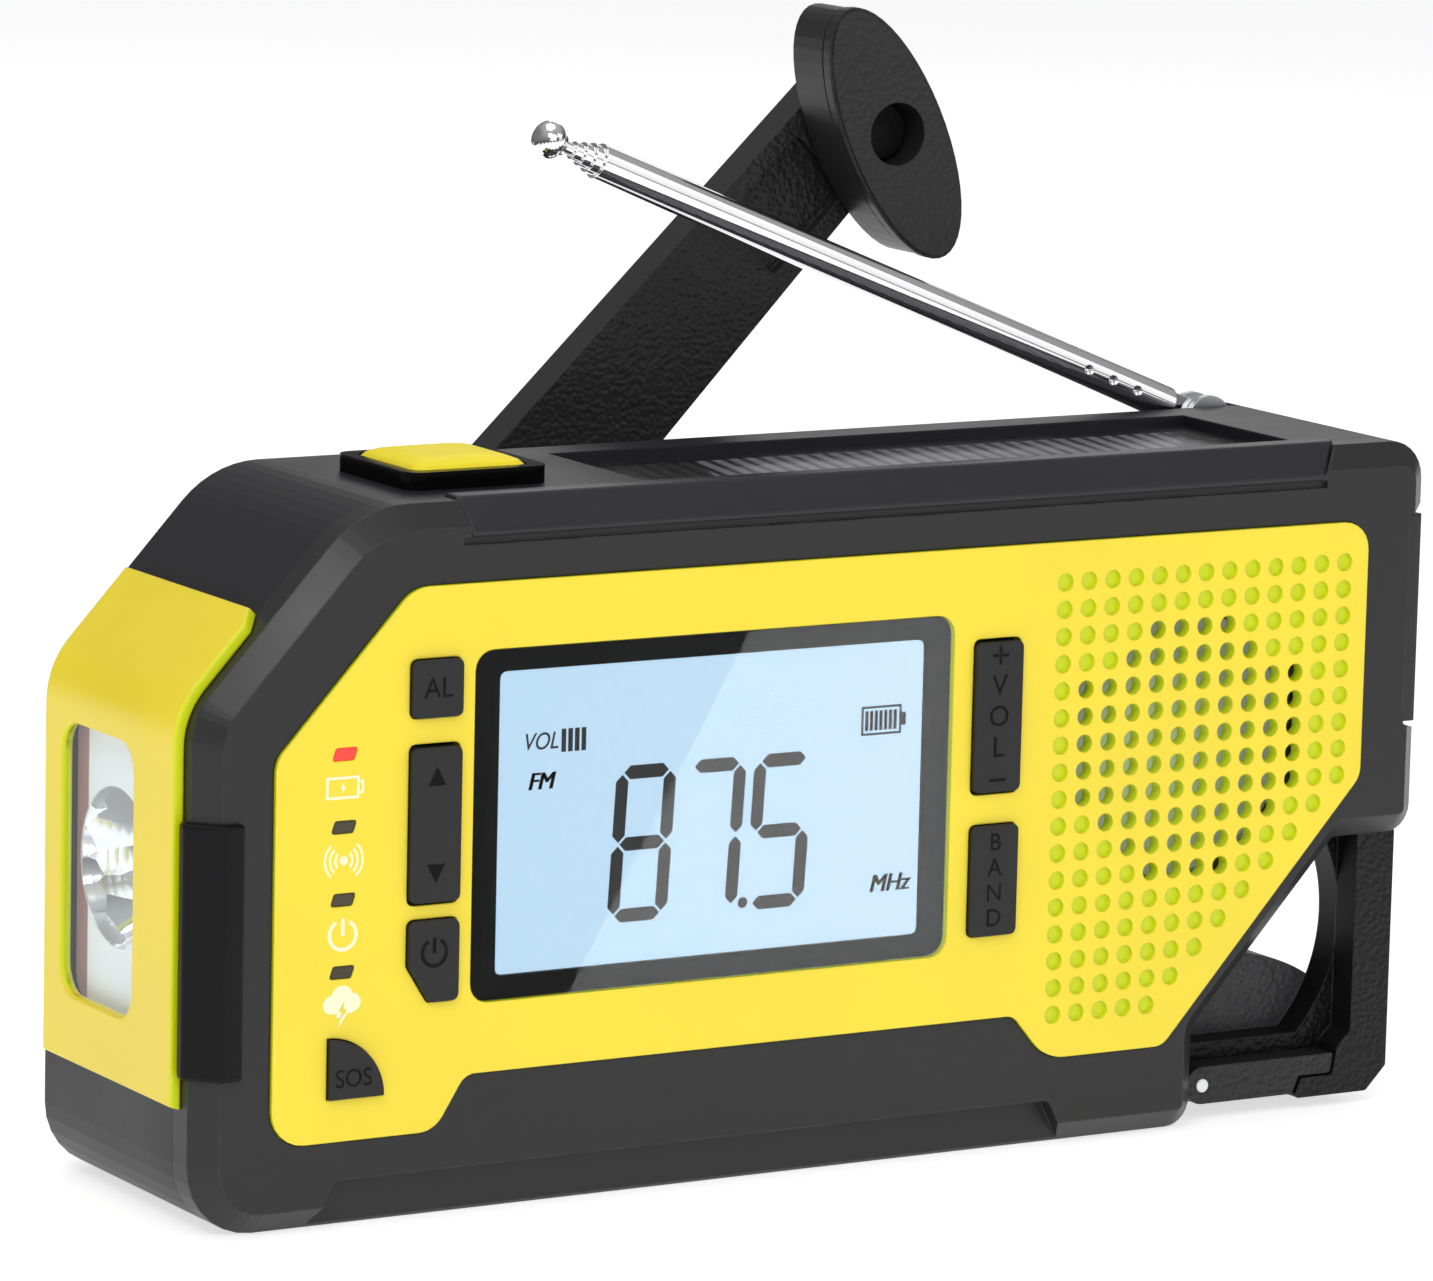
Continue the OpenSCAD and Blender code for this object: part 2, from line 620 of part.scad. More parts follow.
module speaker_frame() color("#5d5f61") difference() {
    union() {
        rod_y(spk_x, spk_z, speaker_r, plate_y, plate_y + 1.6);
        rod_y(spk_x, spk_z, speaker_r - 2, plate_y + 1.5, plate_y + 7);
    }
    rod_y(spk_x, spk_z, speaker_r - 3.2, plate_y - 1, plate_y + 5.8);
    rod_y(spk_x, spk_z, 5, plate_y, plate_y + 8);
}
module speaker_cone() color("#dfe8dd")
    translate([spk_x, plate_y + 0.8, spk_z]) rotate([-90, 0, 0])
        rotate_extrude($fn = fine) {
            r = speaker_r - 3.2;
            polygon([[r, 0], [r, 0.5], [r - 1.5, 0.7], [6, 4.4], [0, 3], [0, 2.5], [5.8, 3.8], [r - 1.6, 0.1]]);
        }
module speaker_magnet() color("#8b8d8f") {
    rod_y(spk_x, spk_z, 10, plate_y + 7, plate_y + 11);
    rod_y(spk_x, spk_z, 4.9, plate_y + 5.9, plate_y + 7.1);
}

board_y = plate_y + 4.2;
board_t = 1.6;
board_l = xl + 18;
board_r = spk_x - speaker_r - 1;
module main_board() color("#1f6b3a")
    block(board_l, board_r, board_y, board_y + board_t, disp_b - 3, disp_t + 2);

module battery_cell() color("#3f78b5") {
    translate([cell_x, cell_y, cell_z]) rotate([0, 90, 0]) {
        cylinder(r = cell_r, h = cell_l - 1, $fn = fine);
        translate([0, 0, cell_l - 1.1]) cylinder(r = cell_r / 3, h = 1.1, $fn = fine);
    }
}
module battery_tray() color("#26262a") difference() {
    block(cell_x - 2.4, cell_x + cell_l + 2.4, cell_y - cell_r - 1, yb - wall,
          wall, cell_z + 1);
    block(cell_x - 0.4, cell_x + cell_l + 0.4, cell_y - cell_r - 0.2, yb - wall - 1,
          wall + 1.4, cell_z + cell_r);
}

rod_x0 = key_x + 9;
rod_l = 56;
coil_r = 4.1;
rod_z = body_h - solar_d - wall - coil_r;
module ferrite_rod() color("#3d3a38")
    translate([rod_x0, seam + 4, rod_z]) rotate([0, 90, 0]) cylinder(r = 3.4, h = rod_l, $fn = fine);
module ferrite_coil() color("#b5652b") difference() {
    for (x = [8, 32])
        translate([rod_x0 + x, seam + 4, rod_z]) rotate([0, 90, 0]) cylinder(r = coil_r, h = 14, $fn = fine);
    translate([rod_x0 - 1, seam + 4, rod_z]) rotate([0, 90, 0]) cylinder(r = 3.4, h = rod_l + 2, $fn = fine);
}

// ---------------------------------------------------------------- gears

// Point of the involute of a circle of radius rb at roll angle t
function involute(rb, t) = rb * [cos(t) + t * PI / 180 * sin(t), sin(t) - t * PI / 180 * cos(t)];
function turn(p, a) = [p[0] * cos(a) - p[1] * sin(a), p[0] * sin(a) + p[1] * cos(a)];

// Outline of an involute gear with pressure angle 20, thinned for backlash
function gear_line(teeth, m) =
    let (rp = m * teeth / 2, rb = rp * cos(20), ra = rp + 0.65 * m, rf = rp - 0.9 * m,
         inv20 = tan(20) * 180 / PI - 20,
         half = 90 / teeth + inv20 - backlash / 2 * 180 / (PI * rp),
         t_end = sqrt(pow(ra / rb, 2) - 1) * 180 / PI,
         t_start = rf > rb ? sqrt(pow(rf / rb, 2) - 1) * 180 / PI : 0,
         side = [for (i = [0:4]) involute(rb, t_start + (t_end - t_start) * i / 4)])
    [for (k = [0:teeth - 1])
        let (a = 360 * k / teeth)
        each concat(
            [turn([rf, 0], a - half - 0.12 * 360 / teeth * (rf > rb ? 0.2 : 1))],
            [for (p = side) turn(p, a - half)],
            [for (i = [4:-1:0]) turn([side[i][0], -side[i][1]], a + half)],
            [turn([rf, 0], a + half + 0.12 * 360 / teeth * (rf > rb ? 0.2 : 1))])];

module gear(x, z, teeth, y0, spin, bore) {
    difference() {
        translate([x, y0 + gear_t, z]) rotate([90, 0, 0]) rotate([0, 0, spin])
            linear_extrude(gear_t) polygon(gear_line(teeth, gear_m));
        rod_y(x, z, bore, y0 - 1, y0 + gear_t + 1);
    }
}

axle_r = 1.5;
backlash = 0.08;               // each tooth is this much thinner, at the pitch circle
// Spins that bring a tooth of one gear into a space of the next
idler_spin1 = 180 + 180 / idler_small;
pinion_spin = pinion_dir + 180 + 180 / pinion_teeth;

module crank_gear() color("#e8e6df") gear(hub_x, hub_z, crank_teeth, gear_y1, 0, shaft_r);
module idler_gear() color("#e8e6df") {
    gear(idler_x, idler_z, idler_small, gear_y1, idler_spin1, axle_r + run);
    gear(idler_x, idler_z, idler_big, gear_y2, pinion_dir, axle_r + run);
    difference() {
        rod_y(idler_x, idler_z, 3.4, gear_y2 + gear_t - 0.1, gear_y1 + 0.1);
        rod_y(idler_x, idler_z, axle_r + run, gear_y2, gear_y1 + 1);
    }
}
module idler_axle() color("#b9bcc0") rod_y(idler_x, idler_z, axle_r, gear_y2 - 0.6, yb - 0.8);
gen_shaft = 1;
module generator_pinion() color("#c9a24a") {
    gear(gen_x, gen_z, pinion_teeth, gear_y2, pinion_spin, gen_shaft);
    rod_y(gen_x, gen_z, gen_shaft, gear_y2 - 7, gear_y2 + gear_t);
}
module generator() color("#a5a8ab") difference() {
    union() {
        rod_y(gen_x, gen_z, gen_r, board_y + board_t, gear_y2 - 1);
        rod_y(gen_x, gen_z, 3, gear_y2 - 1.1, gear_y2 - 0.4);
    }
    rod_y(gen_x, gen_z, gen_shaft + run, gear_y2 - 7.5, gear_y2);
}

// ---------------------------------------------------------------- crank

// Local frame of the crank: X along the arm, Y as the case, Z across the arm
module crank_frame() {
    translate([hub_x, 0, hub_z]) rotate([0, -crank_a, 0]) children();
}

module crank_hub() color("#1c1c1e") crank_frame() {
    difference() {
        union() {
            rod_y(0, 0, hub_r, yb + 0.6, arm_y - 0.7);
            for (s = [-1, 1])
                hull() {
                    block(-knuckle_r, knuckle_r, arm_y - 1.5, arm_y - 1,
                          s > 0 ? arm_w0 / 2 + 0.3 : -arm_w0 / 2 - 0.3 - ear_t,
                          s > 0 ? arm_w0 / 2 + 0.3 + ear_t : -arm_w0 / 2 - 0.3);
                    translate([0, arm_mid, s * (arm_w0 / 2 + 0.3 + ear_t / 2)])
                        cylinder(r = knuckle_r, h = ear_t, center = true, $fn = 32);
                }
        }
        translate([0, arm_mid, -20]) cylinder(r = pin_r, h = 40, $fn = fine);
    }
    rod_y(0, 0, shaft_r, gear_y1 - 0.6, yb + 1);
}

module crank_pin() color("#9b9ea2") crank_frame()
    translate([0, arm_mid, -(arm_w0 / 2 + 0.3 + ear_t)])
        cylinder(r = pin_r, h = arm_w0 + 0.6 + 2 * ear_t, $fn = fine);

arm_end = [for (i = [-8:8]) let (a = 90 * i / 8) [crank_len + arm_w1 / 2 * cos(a), arm_w1 / 2 * sin(a)]];
arm_line = concat([[0.5, arm_w0 / 2], [0.5, -arm_w0 / 2]], arm_end);
pocket_l = 20;
module crank_arm() color("#232325") crank_frame() difference() {
    union() {
        plate(arm_line, arm_y, arm_y + arm_t);
        translate([0, arm_mid, -arm_w0 / 2]) cylinder(r = arm_t / 2, h = arm_w0, $fn = fine);
    }
    translate([0, arm_mid, -20]) cylinder(r = pin_r + run, h = 40, $fn = fine);
    // shallow pocket behind the knob
    plate(rounded(box_outline(crank_len - pocket_l, -arm_w1 / 2 + 2, crank_len - 6, arm_w1 / 2 - 2, 1), 3),
          arm_y - 1, arm_y + 1.6);
    rod_y(crank_len, 0, knob_screw_r, arm_y - 1, arm_y + arm_t - 1);
}

knob_screw_r = 2;
module crank_screw() color("#55585b") crank_frame() {
    rod_y(crank_len, 0, knob_screw_r, knob_y0 + 5, arm_y + arm_t - 1);
    rod_y(crank_len, 0, 3.3, knob_y0 + 3.8, knob_y0 + 5.9);
}

knob_y0 = arm_y - knob_gap - knob_t;
function oval(d) = [for (i = [0:47]) let (a = 7.5 * i)
    [(knob_l / 2 - d) * cos(a), (knob_w / 2 - d) * sin(a)]];
module crank_knob() color("#202022") crank_frame()
    translate([crank_len, 0, 0]) rotate([0, knob_tilt, 0]) difference() {
        union() {
            plate(oval(0.4), knob_y0, knob_y0 + 0.5);
            plate(oval(0), knob_y0 + 0.4, knob_y0 + 1.8);
            plate(oval(0.7), knob_y0 + 1.7, knob_y0 + 2.5);
            plate(oval(0.2), knob_y0 + 2.4, knob_y0 + knob_t - 0.5);
            plate(oval(0.9), knob_y0 + knob_t - 0.6, knob_y0 + knob_t);
        }
        rod_y(0, 0, knob_hole, knob_y0 - 1, knob_y0 + 6);
        rod_y(0, 0, knob_screw_r + run, knob_y0 + 5, knob_y0 + knob_t + 1);
    }

// ---------------------------------------------------------------- antenna

// Local frame of the antenna: Z along the tubes from the pivot
module ant_frame() {
    translate([ant_x, ant_y, ant_z]) rotate([0, ant_a - 90, 0]) children();
}
cheek_t = 1;
cheek_r = 3.1;
module antenna_bracket() color("#9da1a5") difference() {
    union() {
        for (s = [-1, 1])
            translate([0, ant_y + s * (ant_tang / 2 + 0.1 + cheek_t / 2), 0]) {
                rod_y(ant_x, ant_z, cheek_r, -cheek_t / 2, cheek_t / 2);
                block(ant_x - cheek_r, ant_x + cheek_r, -cheek_t / 2, cheek_t / 2, body_h - chan_d, ant_z);
            }
        block(ant_x - cheek_r, ant_x + cheek_r, ant_y - 2.3, ant_y + 2.3, body_h - chan_d, body_h - chan_d + 0.6);
    }
    rod_y(ant_x, ant_z, 1.2, ant_y - 5, ant_y + 5);
}
module antenna_pin() color("#c9ccd0") rod_y(ant_x, ant_z, 1.2, ant_y - 2.3, ant_y + 2.6);

// Radius of tube k, the widest being 1; each fits inside the one before
function tube_r(k) = ant_r - (k - 1) * (ant_wall + run);
tube_2_root = ant_root + 2;
module tube(k, z0, z1) {
    difference() {
        translate([0, 0, z0]) cylinder(r = tube_r(k), h = z1 - z0, $fn = fine);
        translate([0, 0, z0 - 1]) cylinder(r = tube_r(k) - ant_wall, h = z1 - z0 + 2, $fn = fine);
    }
}
module antenna_tube_1() color("#d4d7da") ant_frame() {
    difference() {
        tube(1, ant_root, ant_len);
        // three dents that grip the next tube
        for (i = [0:2]) translate([0, -(ant_r + 0.85), ant_root + 5.7 + 3.8 * i]) sphere(r = 1.1, $fn = fine);
    }
    translate([0, 0, ant_root - 0.2]) cylinder(r = ant_r, h = 1.6, $fn = fine);
    difference() {
        union() {
            rotate([90, 0, 0]) translate([0, 0, -ant_tang / 2]) cylinder(r = 2.4, h = ant_tang, $fn = fine);
            translate([-1.7, -ant_tang / 2, 0]) cube([3.4, ant_tang, ant_root]);
        }
        rotate([90, 0, 0]) cylinder(r = 1.2 + run, h = 10, center = true, $fn = fine);
    }
}
module antenna_tube_2() color("#d4d7da") ant_frame() tube(2, tube_2_root, ant_len + ant_step);
module antenna_tube_3() color("#d4d7da") ant_frame() tube(3, tube_2_root, ant_len + 2 * ant_step);
module antenna_tube_4() color("#d4d7da") ant_frame() tube(4, tube_2_root, ant_len + 3 * ant_step);
tip_z = ant_len + 3 * ant_step + 3.4;
module antenna_rod() color("#dfe2e4") ant_frame() {
    translate([0, 0, tube_2_root]) cylinder(r = tube_r(5), h = tip_z - tube_2_root, $fn = fine);
    translate([0, 0, tip_z]) rotate_extrude($fn = fine)
        polygon(concat([[0, -1.9], [1.3, -1.9]],
            [for (i = [-5:8]) let (a = i * 90 / 8) [0.6 + 1.7 * cos(a), 1.7 * sin(a)]], [[0, 1.7]]));
}

// ---------------------------------------------------------------- carabiner corner

// Front part of the hook: upright, chamfered corner and the nose under the gate
HOOK = [[nose_x, 1.4, 0.4], [hook_out - 2.8, 1.4, 0.6], [hook_out, 4.3, 0.6],
        [hook_out, cut_h, 0], [hook_in, cut_h, 0], [hook_in, 9, 0.6], [hook_in - 1.8, 7.2, 0.6],
        [hook_in - 2.4, 3.8, 0.3], [nose_x + 0.9, 3.8, 0.3]];
// Back part: a web with a round opening that joins the upright to the foot
WEB = [[foot_x, 1.4, 0], [hook_out - 2.8, 1.4, 0.6], [hook_out, 4.3, 0.6], [hook_out, cut_h, 0],
       [xr - cut_step, cut_h, 1.2], [foot_x, foot_h, 1.2]];
web_t = 4;
ring_r = 20;
// A rounded hump behind the web closes its lower part
hump_t = 7.5;
hump_r = 23;
hump_x = foot_x + 10.3;
hump_top = foot_h + 6.1;
module hook_frame() color("#1b1b1d") difference() {
    union() {
        plate(rounded(HOOK, 3), hook_y, hook_y + hook_t + 0.1);
        plate(rounded(WEB, 7), hook_y + hook_t, hook_y + hook_t + web_t);
        intersection() {
            plate(rounded(WEB, 7), hook_y + hook_t + web_t - 0.1, hook_y + hook_t + web_t + hump_t);
            rod_y(hump_x, hump_top - hump_r, hump_r, hook_y, hook_y + hook_t + web_t + hump_t);
        }
    }
    intersection() {
        rod_y(hook_in - ring_r + 0.4, foot_h + 10.5, ring_r, hook_y + hook_t, hook_y + hook_t + web_t);
        block(foot_x, hook_out, hook_y, hook_y + hook_t + web_t, gate_z + gate_h / 2 + 2, cut_h);
    }
    rod_y(gate_x, gate_z, gate_pin, hook_y, hook_y + hook_t + web_t - 1);
}

gate_play = 0.25;
GATE = [[gate_x, gate_z - gate_h / 2, 0], [nose_x - gate_play, gate_z - gate_h / 2, 0.3],
        [nose_x + 0.9 - gate_play, 3.8 + gate_play, 0.3], [hook_in - 2.4 - gate_play, 3.8 + gate_play, 0.3],
        [hook_in - 2.0 - gate_play, gate_z + gate_h / 2, 0.3], [gate_x, gate_z + gate_h / 2, 0]];
module hook_gate() color("#222224") difference() {
    union() {
        plate(rounded(GATE, 3), hook_y + 0.2, hook_y + hook_t - 0.3);
        rod_y(gate_x, gate_z, gate_h / 2, hook_y + 0.2, hook_y + hook_t - 0.3);
    }
    rod_y(gate_x, gate_z, gate_pin + run, hook_y - 1, hook_y + hook_t + 1);
    rod_y(gate_x, gate_z, 1.6, hook_y + hook_t - 1.5, hook_y + hook_t + 1);
}
module hook_pin() color("#eceeef") rod_y(gate_x, gate_z, gate_pin, hook_y + 0.1, hook_y + hook_t + web_t - 1);
module hook_spring() color("#b9bcc0")
    for (i = [0:1]) translate([gate_x, hook_y + hook_t - 1.1 + 0.5 * i, gate_z]) rotate([90, 0, 0])
        rotate_extrude($fn = fine) translate([1.15, 0]) circle(r = 0.22, $fn = 16);

// ---------------------------------------------------------------- ports and screws

charge_y = (seam + port_y1) / 2 - 1;
charge_z = (port_b + port_t) / 2;
charge_w = 9;
charge_h = 3.4;
charge_t = 0.4;
port_gap = 0.12;
module port_cover() color("#2c2c2f")
    block(xr - port_d + 0.2, xr - port_d + 0.2 + port_cover_t, yf + 1.2, port_y1 - 0.3,
          port_b + port_gap, port_t - port_gap);
module charge_port() color("#b4b7ba") difference() {
    block(xr - port_d - wall - 5, xr - port_d, charge_y - charge_w / 2, charge_y + charge_w / 2,
          charge_z - charge_h / 2, charge_z + charge_h / 2);
    block(xr - port_d - wall - 4, xr, charge_y - charge_w / 2 + charge_t, charge_y + charge_w / 2 - charge_t,
          charge_z - charge_h / 2 + charge_t, charge_z + charge_h / 2 - charge_t);
}

module case_screws() color("#8f9296") for (s = SCREWS) {
    rod_y(s[0], s[1], screw_r, plate_y + 0.5, yb - 2.9);
    rod_y(s[0], s[1], 2.5, yb - 3, yb - 1.2);
}

front_shell();
front_panel();
rear_shell();
top_bumper();
grip_pad();
torch_bezel();
torch_lens();
torch_reflector();
torch_led();
display_cover();
display_mask();
display_panel();
alarm_button();
tune_rocker();
power_button();
sos_button();
volume_rocker();
band_button();
charge_light();
status_lights();
torch_key_collar();
torch_key();
solar_window();
solar_cell();
speaker_frame();
speaker_cone();
speaker_magnet();
main_board();
battery_cell();
battery_tray();
ferrite_rod();
ferrite_coil();
generator();
generator_pinion();
idler_gear();
idler_axle();
crank_gear();
crank_hub();
crank_pin();
crank_arm();
crank_screw();
crank_knob();
antenna_bracket();
antenna_pin();
antenna_tube_1();
antenna_tube_2();
antenna_tube_3();
antenna_tube_4();
antenna_rod();
hook_frame();
hook_gate();
hook_pin();
hook_spring();
port_cover();
charge_port();
case_screws();
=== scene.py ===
"""Looks for a hand-crank emergency radio: materials, printed marks, light and camera.

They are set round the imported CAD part. Sizes given in mm are turned into metres with MM.
"""

import json
import math

import bmesh
import bpy
from mathutils import Matrix, Vector


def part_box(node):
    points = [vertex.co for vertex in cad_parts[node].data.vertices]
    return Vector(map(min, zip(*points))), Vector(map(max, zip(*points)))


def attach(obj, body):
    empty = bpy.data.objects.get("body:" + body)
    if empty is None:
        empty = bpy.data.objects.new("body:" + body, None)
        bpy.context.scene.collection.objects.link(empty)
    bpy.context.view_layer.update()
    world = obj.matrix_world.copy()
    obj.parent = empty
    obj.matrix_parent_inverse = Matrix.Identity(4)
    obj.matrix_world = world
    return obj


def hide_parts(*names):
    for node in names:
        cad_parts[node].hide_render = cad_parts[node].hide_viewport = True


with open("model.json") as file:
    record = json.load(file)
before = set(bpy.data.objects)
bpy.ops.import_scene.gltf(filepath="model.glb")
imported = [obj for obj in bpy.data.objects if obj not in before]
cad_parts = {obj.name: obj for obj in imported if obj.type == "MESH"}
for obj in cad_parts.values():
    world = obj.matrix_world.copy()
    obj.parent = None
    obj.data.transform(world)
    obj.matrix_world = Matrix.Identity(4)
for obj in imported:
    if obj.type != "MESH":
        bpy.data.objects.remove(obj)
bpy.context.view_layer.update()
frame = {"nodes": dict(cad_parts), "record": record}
nodes = frame["nodes"]
MM = 0.001


# ---- places taken from the frame, in mm ----
def low(node, way):
    """A node's lowest place along x, y or z (0, 1 or 2)."""
    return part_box(node)[0][way] / MM


def high(node, way):
    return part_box(node)[1][way] / MM


def middle(node, way):
    return (low(node, way) + high(node, way)) / 2


FACE_Y = low("front_panel", 1)
KEY_Y = low("band_button", 1)
SCREEN_Y = low("display_panel", 1)
SCREEN_LEFT = low("display_panel", 0)
SCREEN_RIGHT = high("display_panel", 0)
SCREEN_LOW = low("display_panel", 2)


# ---- shader nodes: tree is the node tree that each function adds to ----
def new_material(name):
    """A material, its node tree and its Principled shader."""
    material = bpy.data.materials.new(name)
    material.use_nodes = True
    return material, material.node_tree, material.node_tree.nodes["Principled BSDF"]


def connect(tree, value, target):
    """Wires a socket to an input, or sets the input's own value."""
    if isinstance(value, bpy.types.NodeSocket):
        tree.links.new(value, target)
    else:
        target.default_value = value


def add(tree, kind, wires=(), **props):
    """One node; wires holds (input, value or socket) pairs."""
    node = tree.nodes.new("ShaderNode" + kind)
    for key, value in props.items():
        setattr(node, key, value)
    for key, value in wires:
        connect(tree, value, node.inputs[key])
    return node


def sums(tree, operation, a, b=0.0, c=0.0):
    return add(tree, "Math", [(0, a), (1, b), (2, c)], operation=operation).outputs[0]


def vectors(tree, operation, a, b):
    return add(tree, "VectorMath", [(0, a), (1, b)], operation=operation).outputs[0]


def dot(tree, a, b):
    return add(tree, "VectorMath", [(0, a), (1, b)], operation="DOT_PRODUCT").outputs["Value"]


def length(tree, a):
    return add(tree, "VectorMath", [(0, a)], operation="LENGTH").outputs["Value"]


def blend(tree, factor, first, second):
    """First colour to second colour by factor; a colour may be a socket."""
    node = add(tree, "Mix", [(0, factor)], data_type="RGBA")
    for place_in, colour in ((6, first), (7, second)):
        whole = colour if isinstance(colour, bpy.types.NodeSocket) else (*colour, 1)
        connect(tree, whole, node.inputs[place_in])
    return node.outputs[2]


def ramp(tree, x, start, end, to_start=0.0, to_end=1.0):
    wires = [(0, x), (1, start), (2, end), (3, to_start), (4, to_end)]
    return add(tree, "MapRange", wires).outputs[0]


def noise(tree, at, scale, detail=2.0):
    return add(tree, "TexNoise", [("Vector", at), ("Scale", scale), ("Detail", detail)]).outputs[0]


def bump(tree, height, depth, normal=None, strength=1.0):
    """A normal bumped by height, depth mm deep."""
    wires = [("Strength", strength), ("Height", height), ("Distance", depth * MM)]
    if normal:
        wires.append(("Normal", normal))
    return add(tree, "Bump", wires).outputs[0]


def place(tree):
    return add(tree, "TexCoord").outputs["Object"]


def axis(tree, which):
    """The place along x, y or z (0, 1 or 2), in metres."""
    return add(tree, "SeparateXYZ", [(0, place(tree))]).outputs[which]


def flat_normal(tree):
    return add(tree, "NewGeometry").outputs["Normal"]


def shade(colour, factor):
    return tuple(min(v * factor, 1) for v in colour)


def edges(tree, radius):
    """A normal rounded over by radius mm, and a mask that is 1 along outer edges."""
    soft = add(tree, "Bevel", [("Radius", radius * MM)], samples=4).outputs[0]
    return soft, ramp(tree, dot(tree, soft, flat_normal(tree)), 0.985, 0.86)


def pebbled(tree, at, cells_per_m, depth, normal):
    """Leather-like pebbles, on faces that look to the front or the back."""
    cells = add(tree, "TexVoronoi", [("Vector", at), ("Scale", cells_per_m), ("Smoothness", 0.6)],
                feature="SMOOTH_F1")
    facing = add(tree, "SeparateXYZ", [(0, add(tree, "TexCoord").outputs["Normal"])]).outputs[1]
    mask = ramp(tree, sums(tree, "ABSOLUTE", facing), 0.75, 0.95)
    rough = sums(tree, "ADD", cells.outputs[0], noise(tree, at, cells_per_m * 0.6, 2))
    return bump(tree, sums(tree, "MULTIPLY", rough, -1.0), depth, normal, mask)


def moulded(name, colour, rough, grain=(2600, 0.012), mottle=0.07, wear=0.3, radius=0.35,
            pebble=None, worn=None, paint=None, **sockets):
    """Moulded plastic or rubber: fine texture, cloudy colour and rubbed edges.

    grain and pebble are (cells per metre, depth in mm), radius is that of the soft edges in mm, and
    sockets are the shader's own values.
    """
    material, tree, shader = new_material(name)
    at = place(tree)
    cloud = noise(tree, at, 55, 3)
    soft, rim = edges(tree, radius)
    base = blend(tree, ramp(tree, cloud, 0.3, 0.7), shade(colour, 1 - mottle), shade(colour, 1 + mottle))
    if paint:
        base = paint(tree, base)
    rub = sums(tree, "MULTIPLY", rim, ramp(tree, noise(tree, at, 420, 3), 0.35, 0.75, 0, wear))
    tree.links.new(blend(tree, rub, base, worn or shade(colour, 1.9)), shader.inputs["Base Color"])
    cloudy = ramp(tree, cloud, 0.3, 0.7, rough - 0.04, rough + 0.05)
    polished = sums(tree, "ADD", cloudy, sums(tree, "MULTIPLY", rub, -0.1))
    tree.links.new(polished, shader.inputs["Roughness"])
    normal = bump(tree, noise(tree, at, grain[0], 2), grain[1], soft)
    if pebble:
        normal = pebbled(tree, at, *pebble, normal)
    tree.links.new(normal, shader.inputs["Normal"])
    for key, value in sockets.items():
        shader.inputs[key.replace("_", " ")].default_value = value
    return material


def metal(name, colour, rough, stretch=(1, 1, 1), depth=0.004, tarnish=0.12, radius=0.15):
    """Turned or drawn metal: directional scratches, cloudy tarnish and softened edges."""
    material, tree, shader = new_material(name)
    at = add(tree, "Mapping", [("Vector", place(tree)), ("Scale", stretch)]).outputs[0]
    cloud = noise(tree, place(tree), 70, 4)
    lines = noise(tree, at, 1400, 3)
    soft, _ = edges(tree, radius)
    dull = blend(tree, ramp(tree, cloud, 0.35, 0.75), colour, shade(colour, 1 - tarnish))
    tree.links.new(dull, shader.inputs["Base Color"])
    cloudy = ramp(tree, cloud, 0.3, 0.8, rough, rough * 1.7)
    scratched = sums(tree, "ADD", cloudy, ramp(tree, lines, 0.4, 0.7, 0, rough * 0.5))
    tree.links.new(scratched, shader.inputs["Roughness"])
    tree.links.new(bump(tree, lines, depth, soft), shader.inputs["Normal"])
    shader.inputs["Metallic"].default_value = 1
    return material


def clear(name, tint, rough=0.02, gloss=1.0):
    """A thin clear cover: what is behind it shows, with a glossy outer face and faint smears."""
    material, tree, shader = new_material(name)
    through = add(tree, "BsdfTransparent", [("Color", (*tint, 1))])
    shine = add(tree, "BsdfGlossy", [("Color", (1, 1, 1, 1))])
    smears = ramp(tree, noise(tree, place(tree), 60, 4), 0.4, 0.8, rough, rough + 0.03)
    tree.links.new(smears, shine.inputs["Roughness"])
    outer = sums(tree, "SUBTRACT", 1.0, add(tree, "NewGeometry").outputs["Backfacing"])
    edge = sums(tree, "MULTIPLY", add(tree, "Fresnel", [("IOR", 1.45)]).outputs[0], outer)
    glossy = sums(tree, "MULTIPLY", edge, gloss)
    both = add(tree, "MixShader", [(0, glossy), (1, through.outputs[0]), (2, shine.outputs[0])])
    tree.nodes.remove(shader)
    tree.links.new(both.outputs[0], tree.nodes["Material Output"].inputs["Surface"])
    return material


# ---- patterns, painted shade and painted light over a base colour ----
YELLOW = (0.93, 0.74, 0.035)
YELLOW_WORN = (1.0, 0.86, 0.16)
# The yellow as it looks in shade, a greener yellow: painted shade.
SHADED_YELLOW = (0.70, 0.78, 0.0)
BLACK_WORN = (0.10, 0.10, 0.105)


def panel_paint(tree, base):
    """Painted shade: the bottoms and walls of the moulded recesses are painted a greener yellow than the
    face.
    """
    recess_shade = ramp(tree, axis(tree, 1), (FACE_Y + 0.03) * MM, (FACE_Y + 0.12) * MM)
    return blend(tree, recess_shade, base, SHADED_YELLOW)


def bezel_paint(tree, base):
    """Painted shade: the torch bezel's side returns are painted the same greener yellow as the shaded
    recesses.
    """
    side = add(tree, "SeparateXYZ", [(0, flat_normal(tree))]).outputs[1]
    return blend(tree, ramp(tree, side, -0.35, -0.8), base, SHADED_YELLOW)


def stripes(tree, slant, pitch):
    """A place from 0 to 1 across slanting stripes, pitch mm apart along x."""
    along = sums(tree, "MULTIPLY_ADD", axis(tree, 1), slant, axis(tree, 0))
    return sums(tree, "FRACT", sums(tree, "DIVIDE", along, pitch * MM))


